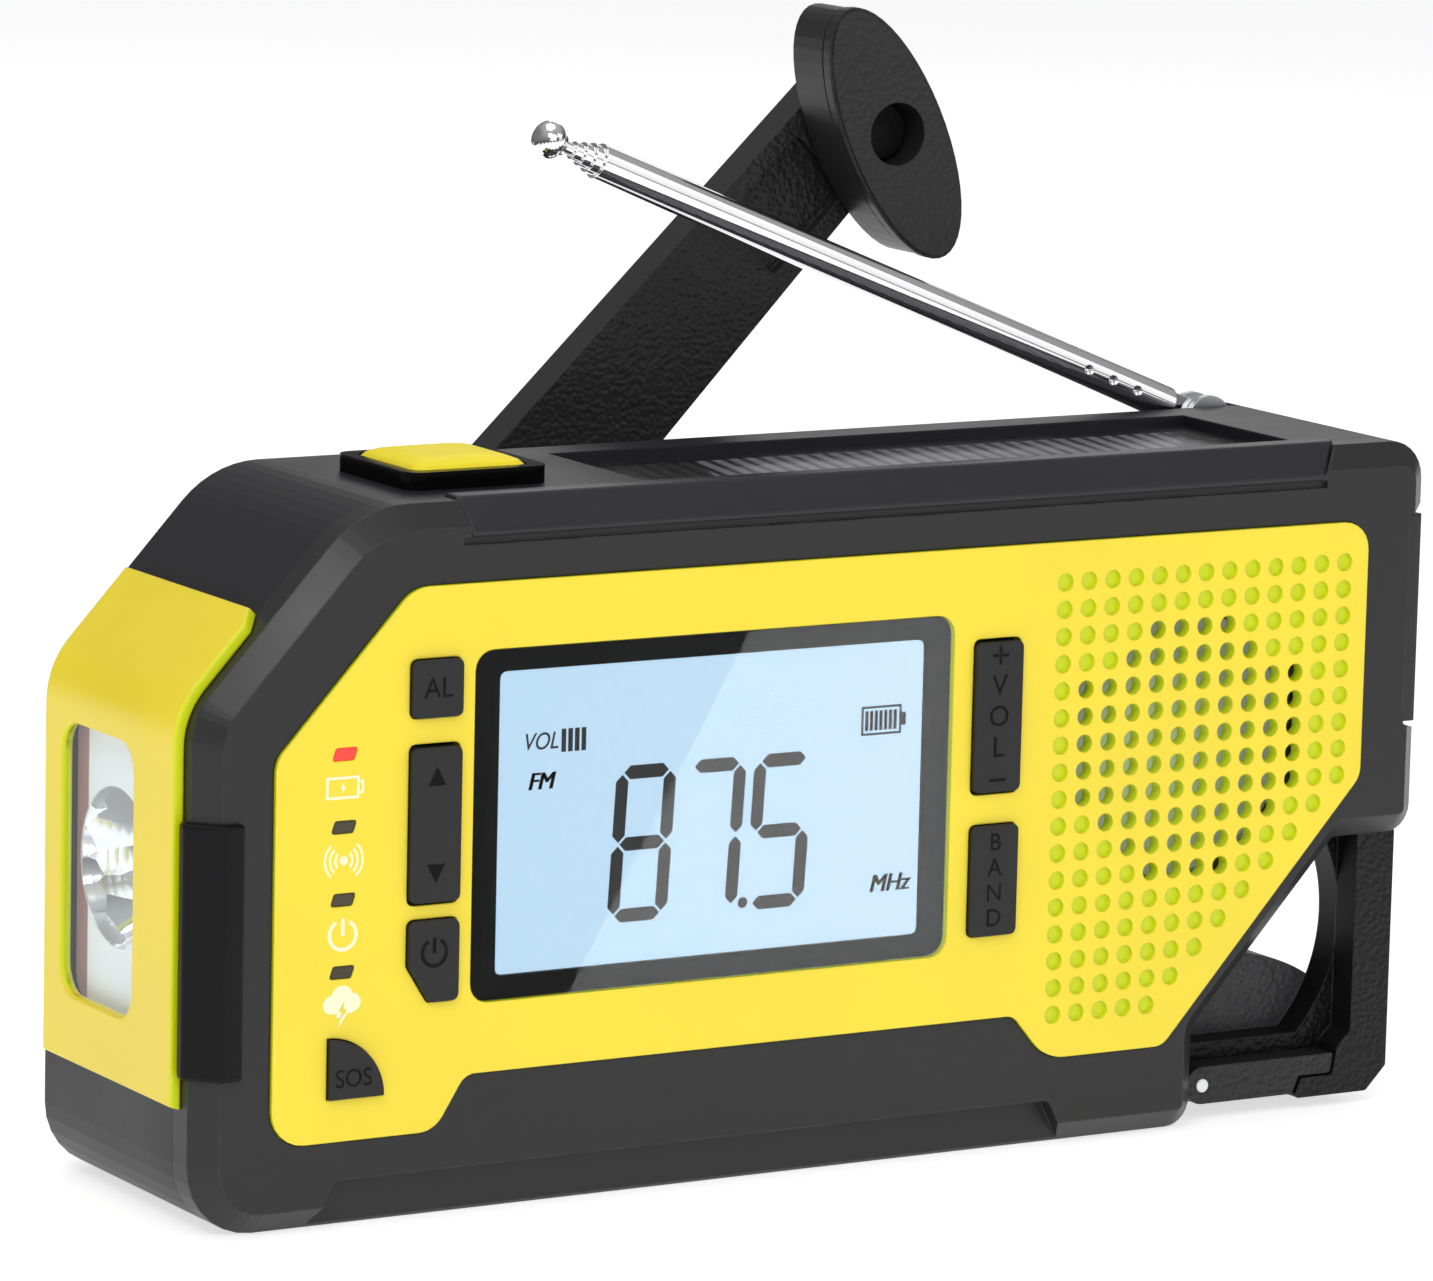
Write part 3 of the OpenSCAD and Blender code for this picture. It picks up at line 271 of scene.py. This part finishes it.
def solar_paint(tree, base):
    """Slanting ribs, lit over the live cell and dull and cross-hatched at its two ends."""
    rib = stripes(tree, -0.17, 2.25)
    line = sums(tree, "MULTIPLY", ramp(tree, rib, 0.02, 0.16), ramp(tree, rib, 0.74, 0.60))
    cross = stripes(tree, 1.3, 3.4)
    live_from = low("solar_cell", 0) + 15.9
    live_to = high("solar_cell", 0) - 6.1
    left = sums(tree, "MULTIPLY_ADD", axis(tree, 1), -0.363, axis(tree, 0))
    right = sums(tree, "MULTIPLY_ADD", axis(tree, 1), -0.45, axis(tree, 0))
    live = sums(tree, "MULTIPLY", ramp(tree, left, live_from * MM, (live_from + 0.3) * MM),
                ramp(tree, right, live_to * MM, (live_to - 0.3) * MM))
    hatch = sums(tree, "MAXIMUM", sums(tree, "MULTIPLY", line, 0.8), ramp(tree, cross, 0.86, 0.93))
    dull = blend(tree, hatch, (0.008, 0.008, 0.009), (0.045, 0.044, 0.044))
    lit = blend(tree, line, (0.016, 0.015, 0.018), (0.20, 0.196, 0.21))
    return blend(tree, live, dull, lit)


def hook_paint(tree, base):
    """The rounded stop behind the web is a paler, smooth grey."""
    stop = low("hook_frame", 1) + 7.75
    behind = ramp(tree, axis(tree, 1), stop * MM, (stop + 0.15) * MM)
    return blend(tree, behind, base, (0.055, 0.054, 0.058))


def cone_paint(tree, base):
    """A pale cone lit by a painted pool of light a little off its middle, fading to a dark surround of
    painted shade towards its rim.
    """
    centre = ((middle("speaker_cone", 0) - 1.5) * MM, 0, (middle("speaker_cone", 2) - 2) * MM)
    away = vectors(tree, "SUBTRACT", place(tree), centre)
    out = length(tree, vectors(tree, "MULTIPLY", away, (1, 0, 1)))
    return blend(tree, ramp(tree, out, 4 * MM, 13.5 * MM), base, (0.05, 0.06, 0.045))


# ---- one material for each slot of the record ----
mats = {
    "bezel_plastic": moulded("bezel_plastic", (0.020, 0.020, 0.021), 0.36, wear=0.5,
                             worn=(0.14, 0.14, 0.145), Specular_IOR_Level=0.34),
    "shell_plastic": moulded("shell_plastic", (0.013, 0.0126, 0.0155), 0.42, grain=(2200, 0.02),
                             wear=0.3, Specular_IOR_Level=0.36),
    "yellow_plastic": moulded("yellow_plastic", YELLOW, 0.34, grain=(1800, 0.006), mottle=0.03,
                              wear=0.25, worn=YELLOW_WORN, radius=0.25, paint=panel_paint),
    "grained_plastic": moulded("grained_plastic", (0.017, 0.017, 0.0175), 0.38, pebble=(1500, 0.15),
                               wear=0.35, worn=BLACK_WORN, radius=0.3, Specular_IOR_Level=0.34),
    "key_rubber": moulded("key_rubber", (0.020, 0.020, 0.0205), 0.55, grain=(3200, 0.02), wear=0.35,
                          worn=(0.09, 0.09, 0.095), radius=0.3, Specular_IOR_Level=0.3),
    "bumper_rubber": moulded("bumper_rubber", (0.012, 0.012, 0.015), 0.36, grain=(2400, 0.012),
                             wear=0.25, radius=0.6),
    "mask_black": moulded("mask_black", (0.004, 0.004, 0.004), 0.12, grain=(900, 0.002), mottle=0.3,
                          wear=0.2, worn=(0.05, 0.05, 0.05), radius=0.15, Specular_IOR_Level=0.03),
    "led_yellow": moulded("led_yellow", (0.92, 0.86, 0.5), 0.15, grain=(900, 0.003), wear=0.1),
    "red_light": moulded("red_light", (0.62, 0.03, 0.02), 0.15, grain=(700, 0.01), mottle=0.4,
                         wear=0.2, worn=(1, 0.4, 0.35), Emission_Color=(1, 0.05, 0.03, 1),
                         Emission_Strength=0.5),
    "amber_light": moulded("amber_light", (0.045, 0.035, 0.012), 0.2, grain=(700, 0.01), mottle=0.4,
                           wear=0.4),
    "solar": moulded("solar", (0.02, 0.02, 0.024), 0.3, grain=(900, 0.002), paint=solar_paint, wear=0.1),
    # The cone's faint emission is painted light: it glows though it is no lamp.
    "cone_paper": moulded("cone_paper", (0.74, 0.84, 0.66), 0.75, grain=(1500, 0.06), mottle=0.12,
                          wear=0.1, paint=cone_paint, Emission_Color=(0.72, 0.85, 0.62, 1),
                          Emission_Strength=0.22),
    "board": moulded("board", (0.02, 0.13, 0.05), 0.35, grain=(900, 0.01), mottle=0.15, wear=0.3),
    "cell_wrap": moulded("cell_wrap", (0.04, 0.16, 0.42), 0.22, grain=(500, 0.01), mottle=0.06, wear=0.2),
    "ferrite": moulded("ferrite", (0.045, 0.045, 0.048), 0.6, grain=(1600, 0.05), mottle=0.2, wear=0.3),
    "white_plastic": moulded("white_plastic", (0.8, 0.79, 0.74), 0.4, grain=(1400, 0.01), mottle=0.04,
                             wear=0.15),
    "clear_plastic": clear("clear_plastic", (0.95, 0.97, 0.98), gloss=0.7),
    "black_steel": metal("black_steel", (0.02, 0.02, 0.021), 0.4),
    "steel": metal("steel", (0.58, 0.59, 0.60), 0.28),
    "copper": metal("copper", (0.72, 0.33, 0.14), 0.22),
    "brass": metal("brass", (0.75, 0.56, 0.25), 0.24),
    "chrome": metal("chrome", (0.90, 0.90, 0.91), 0.055, stretch=(0.08, 1, 0.08), depth=0.0006,
                    tarnish=0.05, radius=0.1),
    "white_steel": moulded("white_steel", (0.86, 0.87, 0.88), 0.3, grain=(900, 0.01), mottle=0.05,
                           wear=0.2),
}


def display_light():
    """A lit liquid-crystal panel: pale blue, with a faint grain."""
    material, tree, shader = new_material("lcd")
    # Paler towards the right: a little painted light, on the side where the glare on the cover falls.
    across = ramp(tree, axis(tree, 0), SCREEN_LEFT * MM, SCREEN_RIGHT * MM)
    tone = blend(tree, across, (0.50, 0.73, 0.91), (0.56, 0.76, 0.91))
    grain = ramp(tree, noise(tree, place(tree), 900, 2), 0.4, 0.6, 0, 0.04)
    speckled = blend(tree, grain, tone, (1, 1, 1))
    tree.links.new(speckled, shader.inputs["Emission Color"])
    shader.inputs["Emission Strength"].default_value = 0.80
    tree.links.new(blend(tree, 0.85, speckled, (0.02, 0.02, 0.02)), shader.inputs["Base Color"])
    satin = ramp(tree, noise(tree, place(tree), 300, 2), 0.3, 0.7, 0.5, 0.6)
    tree.links.new(satin, shader.inputs["Roughness"])
    return material


DISH_R = 9.0  # radius of the torch's plated dish, in mm
DISH_SILVER = (0.88, 0.89, 0.90)


def dish_facets(tree):
    """The flat normal, tilted a different way in each irregular facet."""
    stretched = add(tree, "Mapping", [("Vector", place(tree)), ("Scale", (1, 0.55, 1.25))]).outputs[0]
    cells = add(tree, "TexVoronoi", [("Vector", stretched), ("Scale", 230), ("Randomness", 1)])
    kick = vectors(tree, "SUBTRACT", cells.outputs["Color"], (0.5, 0.5, 0.5))
    small = add(tree, "VectorMath", [(0, kick), ("Scale", 0.75)], operation="SCALE").outputs[0]
    tilted = vectors(tree, "ADD", small, flat_normal(tree))
    return add(tree, "VectorMath", [(0, tilted)], operation="NORMALIZE").outputs[0]


def torch_dish():
    """A faceted, plated dish in a satin pale plate with a brown back edge."""
    material, tree, shader = new_material("reflector")
    centre = (0, middle("torch_led", 1) * MM, middle("torch_led", 2) * MM)
    away = vectors(tree, "SUBTRACT", place(tree), centre)
    out = length(tree, vectors(tree, "MULTIPLY", away, (0, 1, 1)))
    dish = ramp(tree, out, (DISH_R + 0.15) * MM, DISH_R * MM)
    pick = add(tree, "Mix", [(0, dish)], data_type="VECTOR")
    tree.links.new(bump(tree, noise(tree, place(tree), 1500, 2), 0.01), pick.inputs[4])
    tree.links.new(dish_facets(tree), pick.inputs[5])
    tree.links.new(pick.outputs[1], shader.inputs["Normal"])
    tree.links.new(dish, shader.inputs["Metallic"])
    tree.links.new(ramp(tree, dish, 0, 1, 0.45, 0.13), shader.inputs["Roughness"])
    cloud = ramp(tree, noise(tree, place(tree), 120, 3), 0.3, 0.7)
    plate = blend(tree, cloud, (0.92, 0.93, 0.94), (0.97, 0.97, 0.97))
    brown_from = high("torch_reflector", 1) - 3.0
    back = ramp(tree, axis(tree, 1), brown_from * MM, (brown_from + 0.3) * MM)
    plate = blend(tree, back, plate, (0.33, 0.11, 0.08))
    tree.links.new(blend(tree, dish, plate, DISH_SILVER), shader.inputs["Base Color"])
    # A faint emission over the plate and dish: painted light, as the torch is not on.
    shader.inputs["Emission Color"].default_value = (1, 1, 1, 1)
    shader.inputs["Emission Strength"].default_value = 0.10
    return material


mats["lcd"] = display_light()
mats["reflector"] = torch_dish()

# ---- materials for single nodes, and for the marks ----
special = {
    "torch_bezel": moulded("bezel_yellow", YELLOW, 0.34, grain=(1800, 0.006), mottle=0.03, wear=0.25,
                           worn=YELLOW_WORN, radius=0.5, paint=bezel_paint),
    "torch_key": moulded("key_yellow", (0.95, 0.79, 0.03), 0.5, grain=(1800, 0.01), mottle=0.03,
                         wear=0.3, worn=YELLOW_WORN, radius=0.5, Specular_IOR_Level=0.2),
    "grip_pad": moulded("pad_rubber", (0.004, 0.004, 0.005), 0.34, grain=(2400, 0.01), wear=0.1,
                        radius=0.5, Specular_IOR_Level=0.16),
    "hook_frame": moulded("hook_plastic", (0.006, 0.006, 0.0065), 0.38, pebble=(1500, 0.15),
                          wear=0.35, worn=BLACK_WORN, radius=0.3, paint=hook_paint,
                          Specular_IOR_Level=0.26),
    "display_cover": clear("screen_clear", (0.98, 0.99, 1.0), rough=0.01, gloss=0.25),
    "solar_window": clear("solar_clear", (0.96, 0.96, 0.97), rough=0.25, gloss=0.12),
}
print_white = moulded("print_white", (0.98, 0.95, 0.66), 0.5, grain=(1800, 0.004), mottle=0.03,
                      wear=0.0, radius=0.01)
mark_rubber = moulded("mark_rubber", (0.004, 0.004, 0.0045), 0.5, grain=(2600, 0.01), wear=0.6,
                      worn=BLACK_WORN, radius=0.12, Specular_IOR_Level=0.12)
segment_black = moulded("segment_black", (0.006, 0.005, 0.004), 0.6, grain=(1800, 0.004), wear=0.0,
                        radius=0.01)

slots = {part["node"]: part["material_slot"] for part in frame["record"]["subparts"]}
for name, obj in nodes.items():
    obj.data.materials.clear()
    obj.data.materials.append(special.get(name, mats[slots[name]]))

# ---- nodes shown with rounded edges ----
bodies = {}
for body, group in frame["record"]["behaviour"]["bodies"].items():
    for name in group:
        bodies[name] = body


def softened(node, width, segments=4, angle=28):
    """A copy of a node with its hard edges rounded over by width mm, shown in its place."""
    bm = bmesh.new()
    bm.from_mesh(nodes[node].data)
    bmesh.ops.remove_doubles(bm, verts=bm.verts, dist=1e-6)
    bmesh.ops.dissolve_limit(bm, angle_limit=math.radians(0.6), verts=bm.verts, edges=bm.edges)
    hard = [e for e in bm.edges if e.is_manifold and e.calc_face_angle(0) > math.radians(angle)]
    bmesh.ops.bevel(bm, geom=hard, offset=width * MM, segments=segments, profile=0.5, affect="EDGES",
                    clamp_overlap=True)
    for face in bm.faces:
        face.smooth = True
    mesh = bpy.data.meshes.new(node + "_rounded")
    bm.to_mesh(mesh)
    bm.free()
    mesh.materials.append(nodes[node].data.materials[0])
    piece = bpy.data.objects.new(node + "_rounded", mesh)
    piece.modifiers.new("shading", "WEIGHTED_NORMAL").keep_sharp = True
    bpy.context.scene.collection.objects.link(piece)
    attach(piece, bodies[node])
    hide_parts(node)


for name, width in (("grip_pad", 1.5), ("top_bumper", 0.45), ("torch_bezel", 0.4), ("crank_arm", 0.35)):
    softened(name, width)


# ---- making marks; outlines are lists of (x, z) points in mm ----
def join_body(piece, body, material):
    piece.data.materials.append(material)
    bpy.context.scene.collection.objects.link(piece)
    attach(piece, body)


def words(name, text, x, z, y, size, body, slot, material, lean=0.0, line=1.0, wide=1.0, deep=0.05):
    """Raised or printed letters facing the front, centred at (x, z), all in mm."""
    curve = bpy.data.curves.new(name, "FONT")
    curve.body, curve.size = text, size * MM
    curve.align_x, curve.align_y = "CENTER", "CENTER"
    curve.extrude, curve.shear, curve.space_line = deep * MM, lean, line
    piece = bpy.data.objects.new(name, curve)
    upright = Matrix.Rotation(math.pi / 2, 4, "X") @ Matrix.Diagonal((wide, 1, 1, 1))
    piece.matrix_world = Matrix.Translation(Vector((x, y, z)) * MM) @ upright
    join_body(piece, body, material)


def flat_marks(name, shapes, y, body, slot, material, deep=0.05):
    """Thin solids, one for each outline, standing forward from y."""
    bm = bmesh.new()
    for k, outline in enumerate(shapes):
        lift = y - deep - 0.0015 * (k % 7)  # so that shapes that cross don't share a face
        front = [bm.verts.new(Vector((x, lift, z)) * MM) for x, z in outline]
        back = [bm.verts.new(Vector((x, y, z)) * MM) for x, z in outline]
        bm.faces.new(front)
        bm.faces.new(back[::-1])
        for i in range(len(outline)):
            j = (i + 1) % len(outline)
            bm.faces.new((front[j], front[i], back[i], back[j]))
    bmesh.ops.recalc_face_normals(bm, faces=bm.faces)
    mesh = bpy.data.meshes.new(name)
    bm.to_mesh(mesh)
    bm.free()
    join_body(bpy.data.objects.new(name, mesh), body, material)


def rect(x0, z0, x1, z1):
    return [(x0, z0), (x1, z0), (x1, z1), (x0, z1)]


def around(x, z, dx0, dz0, dx1, dz1):
    """A rectangle given by its corners' distances from (x, z)."""
    return rect(x + dx0, z + dz0, x + dx1, z + dz1)


def arc(x, z, r, from_angle, to_angle, w, n=14):
    """A curved strip of width w, as quads."""
    turns = [math.radians(from_angle + (to_angle - from_angle) * k / n) for k in range(n + 1)]
    out = []
    for a, b in zip(turns, turns[1:]):
        corners = ((r - w / 2, a), (r + w / 2, a), (r + w / 2, b), (r - w / 2, b))
        out.append([(x + q * math.cos(v), z + q * math.sin(v)) for q, v in corners])
    return out


def disc(x, z, r, n=24):
    return [(x + r * math.cos(math.tau * i / n), z + r * math.sin(math.tau * i / n)) for i in range(n)]


def power_sign(x, z, r, w):
    return arc(x, z, r, 120, 420, w, 24) + [rect(x - w / 2, z - 0.1, x + w / 2, z + r * 1.12)]


def bolt(x, z, s):
    """A lightning bolt, 2 s high."""
    return [(x + s * 0.25, z + s), (x - s * 0.55, z - s * 0.12), (x - s * 0.05, z - s * 0.12),
            (x - s * 0.25, z - s), (x + s * 0.55, z + s * 0.12), (x + s * 0.05, z + s * 0.12)]


# ---- printed signs under the four lights ----
light_x = middle("charge_light", 0)
light_z = middle("charge_light", 2)
light_half = (high("charge_light", 2) - low("charge_light", 2)) / 2
light_step = (light_z - low("status_lights", 2) - light_half) / 3
SIGN_DROP = 3.7  # from a light's middle down to its sign


def battery_sign(x, z):
    """A small battery with its terminal at the right and a bolt in it."""
    case = [around(x, z, -2.3, -1.25, 1.8, -0.95), around(x, z, -2.3, 0.95, 1.8, 1.25),
            around(x, z, -2.3, -0.95, -2.0, 0.95), around(x, z, 1.5, -0.95, 1.8, 0.95)]
    terminal = [around(x, z, 1.8, -0.75, 2.1, -0.5), around(x, z, 1.8, 0.5, 2.1, 0.75),
                around(x, z, 2.1, -0.75, 2.35, 0.75)]
    return case + terminal + [bolt(x - 0.2, z, 0.7)]


def wave_sign(x, z):
    """A dot with three pairs of arcs."""
    out = [disc(x, z, 0.5)]
    for r in (1.05, 1.7, 2.35):
        for side in (0, 180):
            out += arc(x, z, r, side - 48, side + 48, 0.27, 8)
    return out


def cloud_sign(x, z):
    """A cloud with a bolt below it."""
    puffs = [disc(x - 1.25, z + 0.15, 1.05), disc(x + 0.05, z + 0.9, 1.35), disc(x + 1.3, z + 0.25, 1.05)]
    return puffs + [around(x, z, -1.25, -0.9, 1.3, 0.5), bolt(x - 0.05, z - 1.15, 1.35)]


sign_z = [light_z - SIGN_DROP - light_step * i for i in range(4)]
signs = battery_sign(light_x, sign_z[0]) + wave_sign(light_x, sign_z[1]) + \
    power_sign(light_x, sign_z[2] - 0.2, 1.65, 0.42) + cloud_sign(light_x, sign_z[3])
flat_marks("panel_signs", signs, FACE_Y, "case", "white_plastic", print_white, 0.03)
flat_marks("panel_bolt", [bolt(light_x + 0.12, sign_z[3] - 0.55, 1.0)], FACE_Y - 0.03, "case",
           "yellow_plastic", mats["yellow_plastic"], 0.02)

# ---- raised marks on the keys ----
key_mark = {"y": KEY_Y, "slot": "key_rubber", "material": mark_rubber}


def key_middle(node):
    return middle(node, 0), middle(node, 2)


x, z = key_middle("alarm_button")
words("mark_alarm", "AL", x, z, size=3.3, body="alarm_key", wide=0.95, **key_mark)
x, z = key_middle("sos_button")
words("mark_distress", "SOS", x - 0.45, z - 1.15, size=2.9, body="distress_key", wide=0.92, **key_mark)
x, z = key_middle("power_button")
flat_marks("mark_power", power_sign(x, z + 1.0, 1.5, 0.42), body="power_key", **key_mark)
x, z = key_middle("tune_rocker")
arrows = [[(x - 1.1, z + 4.4), (x + 1.1, z + 4.4), (x, z + 6.5)],
          [(x - 1.1, z - 4.4), (x, z - 6.5), (x + 1.1, z - 4.4)]]
flat_marks("mark_tune", arrows, body="tune_key", **key_mark)
x, z = key_middle("volume_rocker")
words("mark_volume", "V\nO\nL", x, z, size=3.4, body="volume_key", line=1.06, **key_mark)
plus_and_minus = [around(x, z, -1.1, 7.0, 1.1, 7.35), around(x, z, -0.18, 6.1, 0.18, 8.25),
                  around(x, z, -1.1, -7.5, 1.1, -7.15)]
flat_marks("mark_volume_signs", plus_and_minus, body="volume_key", **key_mark)
x, z = key_middle("band_button")
words("mark_band", "B\nA\nN\nD", x, z, size=2.9, body="band_key", line=1.02, **key_mark)

# ---- the display's segments and signs, just in front of the lit panel ----
DIGIT_W = 7.7
DIGIT_H = 17.8
DIGIT_Z = SCREEN_LOW + 4.6
DIGITS = ((14.1, "abcdefg"), (23.2, "abc"), (32.0, "acdfg"))  # place from the screen's left, lit segments
LEAN = 0.055


def lean_all(shapes, base):
    return [[(x + (z - base) * LEAN, z) for x, z in outline] for outline in shapes]


def digit(x, z, w, h, lit, thick=1.55, gap=0.22):
    """A seven-segment digit with its lower left corner at (x, z); lit names segments a to g."""
    half = thick / 2

    def flat(at):
        left, right = x + gap + half, x + w - gap - half
        return [(left, at), (left + half, at + half), (right - half, at + half),
                (right, at), (right - half, at - half), (left + half, at - half)]

    def tall(at, bottom, top):
        return [(at, bottom), (at + half, bottom + half), (at + half, top - half), (at, top),
                (at - half, top - half), (at - half, bottom + half)]

    centre = z + h / 2
    lower, upper = (z + half + gap, centre - gap), (centre + gap, z + h - half - gap)
    segments = {"a": flat(z + h - half), "d": flat(z + half), "g": flat(centre),
                "f": tall(x + half, *upper), "b": tall(x + w - half, *upper),
                "e": tall(x + half, *lower), "c": tall(x + w - half, *lower)}
    return [segments[k] for k in lit]


def level_bars(x, z, count=4):
    return [rect(x + 0.85 * i, z, x + 0.85 * i + 0.55, z + 2.6) for i in range(count)]


def charge_sign(x, z, w=5.3, h=3.35, line=0.25, cells=7):
    """A battery outline with its terminal at the right, full of cells."""
    out = [rect(x, z, x + w, z + line), rect(x, z + h - line, x + w, z + h),
           rect(x, z, x + line, z + h), rect(x + w - line, z, x + w, z + h),
           rect(x + w, z + 0.95, x + w + 0.6, z + 2.4)]
    for i in range(cells):
        out.append(rect(x + 0.5 + 0.63 * i, z + 0.55, x + 0.9 + 0.63 * i, z + 2.8))
    return out


shown = [disc(SCREEN_LEFT + 31.7, DIGIT_Z + 0.95, 0.62)]
for along, lit in DIGITS:
    shown += digit(SCREEN_LEFT + along, DIGIT_Z, DIGIT_W, DIGIT_H, lit)
marks = lean_all(shown, DIGIT_Z) + level_bars(SCREEN_LEFT + 7.9, SCREEN_LOW + 24.6) + \
    charge_sign(SCREEN_RIGHT - 8.1, SCREEN_LOW + 23.55)
flat_marks("display_marks", marks, SCREEN_Y - 0.03, "case", "mask_black", segment_black, 0.06)
screen_word = {"y": SCREEN_Y - 0.07, "body": "case", "slot": "mask_black", "material": segment_black,
               "lean": 0.25, "deep": 0.03}
for i in range(3):  # drawn three times, a little apart, for a heavy face
    words(f"display_band_{i}", "FM", SCREEN_LEFT + 5.22 + 0.09 * i, SCREEN_LOW + 21.4, size=2.75,
          wide=0.95, **screen_word)
    words(f"display_unit_{i}", "MHz", SCREEN_RIGHT - 3.98 + 0.09 * i, SCREEN_LOW + 6.2, size=2.9,
          wide=0.95, **screen_word)
words("display_volume", "VOL", SCREEN_LEFT + 5.2, SCREEN_LOW + 25.9, size=2.75, wide=0.86, **screen_word)


# ---- floor and backdrop ----
def pale_floor(half=6.0):
    """A wide floor just under the part, half metres to each side."""
    plane = bpy.data.meshes.new("floor")
    corners = [(-half, -half, 0), (half, -half, 0), (half, half, 0), (-half, half, 0)]
    plane.from_pydata(corners, [], [(0, 1, 2, 3)])
    floor = bpy.data.objects.new("floor", plane)
    floor.location.z = -0.05 * MM
    bpy.context.scene.collection.objects.link(floor)
    material, tree, shader = new_material("floor_white")
    cloudy = blend(tree, noise(tree, place(tree), 3, 2), (0.64, 0.64, 0.65), (0.66, 0.66, 0.67))
    tree.links.new(cloudy, shader.inputs["Base Color"])
    shader.inputs["Roughness"].default_value = 0.6
    shader.inputs["Emission Color"].default_value = (1, 1, 1, 1)
    shader.inputs["Emission Strength"].default_value = 0.66
    plane.materials.append(material)
    return floor


def studio_world():
    """Light that grows paler upwards, and a plain pale backdrop past the floor."""
    world = bpy.data.worlds.new("studio")
    bpy.context.scene.world = world
    world.use_nodes = True
    tree = world.node_tree
    up = add(tree, "SeparateXYZ", [(0, add(tree, "TexCoord").outputs["Generated"])]).outputs[2]
    sky = add(tree, "ValToRGB", [(0, ramp(tree, up, -0.2, 1.0))])
    stops = sky.color_ramp.elements
    stops[0].position, stops[0].color = 0.16, (0.10, 0.10, 0.105, 1)
    stops[1].position, stops[1].color = 0.75, (1, 1, 1, 1)
    lit = tree.nodes["Background"]
    tree.links.new(sky.outputs[0], lit.inputs["Color"])
    lit.inputs["Strength"].default_value = 0.42
    seen = add(tree, "Background", [("Color", (1, 1, 1, 1)), ("Strength", 1.0)])
    eye = add(tree, "LightPath").outputs["Is Camera Ray"]
    both = add(tree, "MixShader", [(0, eye), (1, lit.outputs[0]), (2, seen.outputs[0])])
    tree.links.new(both.outputs[0], tree.nodes["World Output"].inputs["Surface"])


pale_floor()
studio_world()


# ---- lights; places in metres ----
def softbox(name, at, aim, size, watts, tall=None):
    light = bpy.data.lights.new(name, "AREA")
    light.energy, light.size = watts, size
    if tall:
        light.shape, light.size_y = "RECTANGLE", tall
    lamp = bpy.data.objects.new(name, light)
    lamp.location = at
    lamp.rotation_mode = "QUATERNION"
    lamp.rotation_quaternion = (Vector(aim) - Vector(at)).to_track_quat("-Z", "Y")
    bpy.context.scene.collection.objects.link(lamp)
    return lamp


softbox("key", (-0.62, -0.54, 0.80), (-0.04, 0, 0.05), 0.34, 3.0)
softbox("front", (-0.25, -1.35, 0.75), (0, 0, 0.05), 1.0, 4.6)
softbox("fill", (0.95, -0.85, 0.55), (0, 0, 0.05), 0.8, 1.7)
softbox("top", (-0.1, 0.15, 1.3), (0, 0, 0.05), 1.1, 4.6)
softbox("rim", (0.7, 0.95, 0.6), (0, 0, 0.08), 0.5, 1.0)


def cover_glare():
    """A panel just above the floor that only the display's cover reflects, across one corner of it."""
    start, end = Vector((20.8, -118.8, 1)) * MM, Vector((181.8, -345.6, 1)) * MM
    along = (start - end).normalized()
    out = Vector((along.y, -along.x, 0))
    lamp = softbox("glare", (0, 0, 0), (0, 0, 1), 0.75, 12.0, tall=0.5)
    lamp.rotation_mode = "XYZ"
    turn = Matrix((along, out, along.cross(out))).transposed().to_4x4()
    lamp.matrix_world = Matrix.Translation((start + end) / 2 + out * 0.25) @ turn
    lamp.visible_camera = lamp.visible_diffuse = False
    only = bpy.data.collections.new("glare_receivers")
    only.objects.link(nodes["display_cover"])
    lamp.light_linking.receiver_collection = only


cover_glare()

# ---- camera ----
camera = bpy.data.objects.new("camera", bpy.data.cameras.new("camera"))
bpy.context.scene.collection.objects.link(camera)
bpy.context.scene.camera = camera
camera.data.sensor_width, camera.data.lens = 36, 191.5
camera.data.clip_start, camera.data.clip_end = 0.02, 30
heading, tilt, roll = (math.radians(v) for v in (-30.633, 80.376, 1.344))
turn = Matrix.Rotation(heading, 4, "Z") @ Matrix.Rotation(tilt, 4, "X") @ Matrix.Rotation(roll, 4, "Z")
camera.matrix_world = Matrix.Translation(Vector((-0.44528, -0.74411, 0.20528))) @ turn
bpy.context.scene.view_settings.view_transform = "Standard"
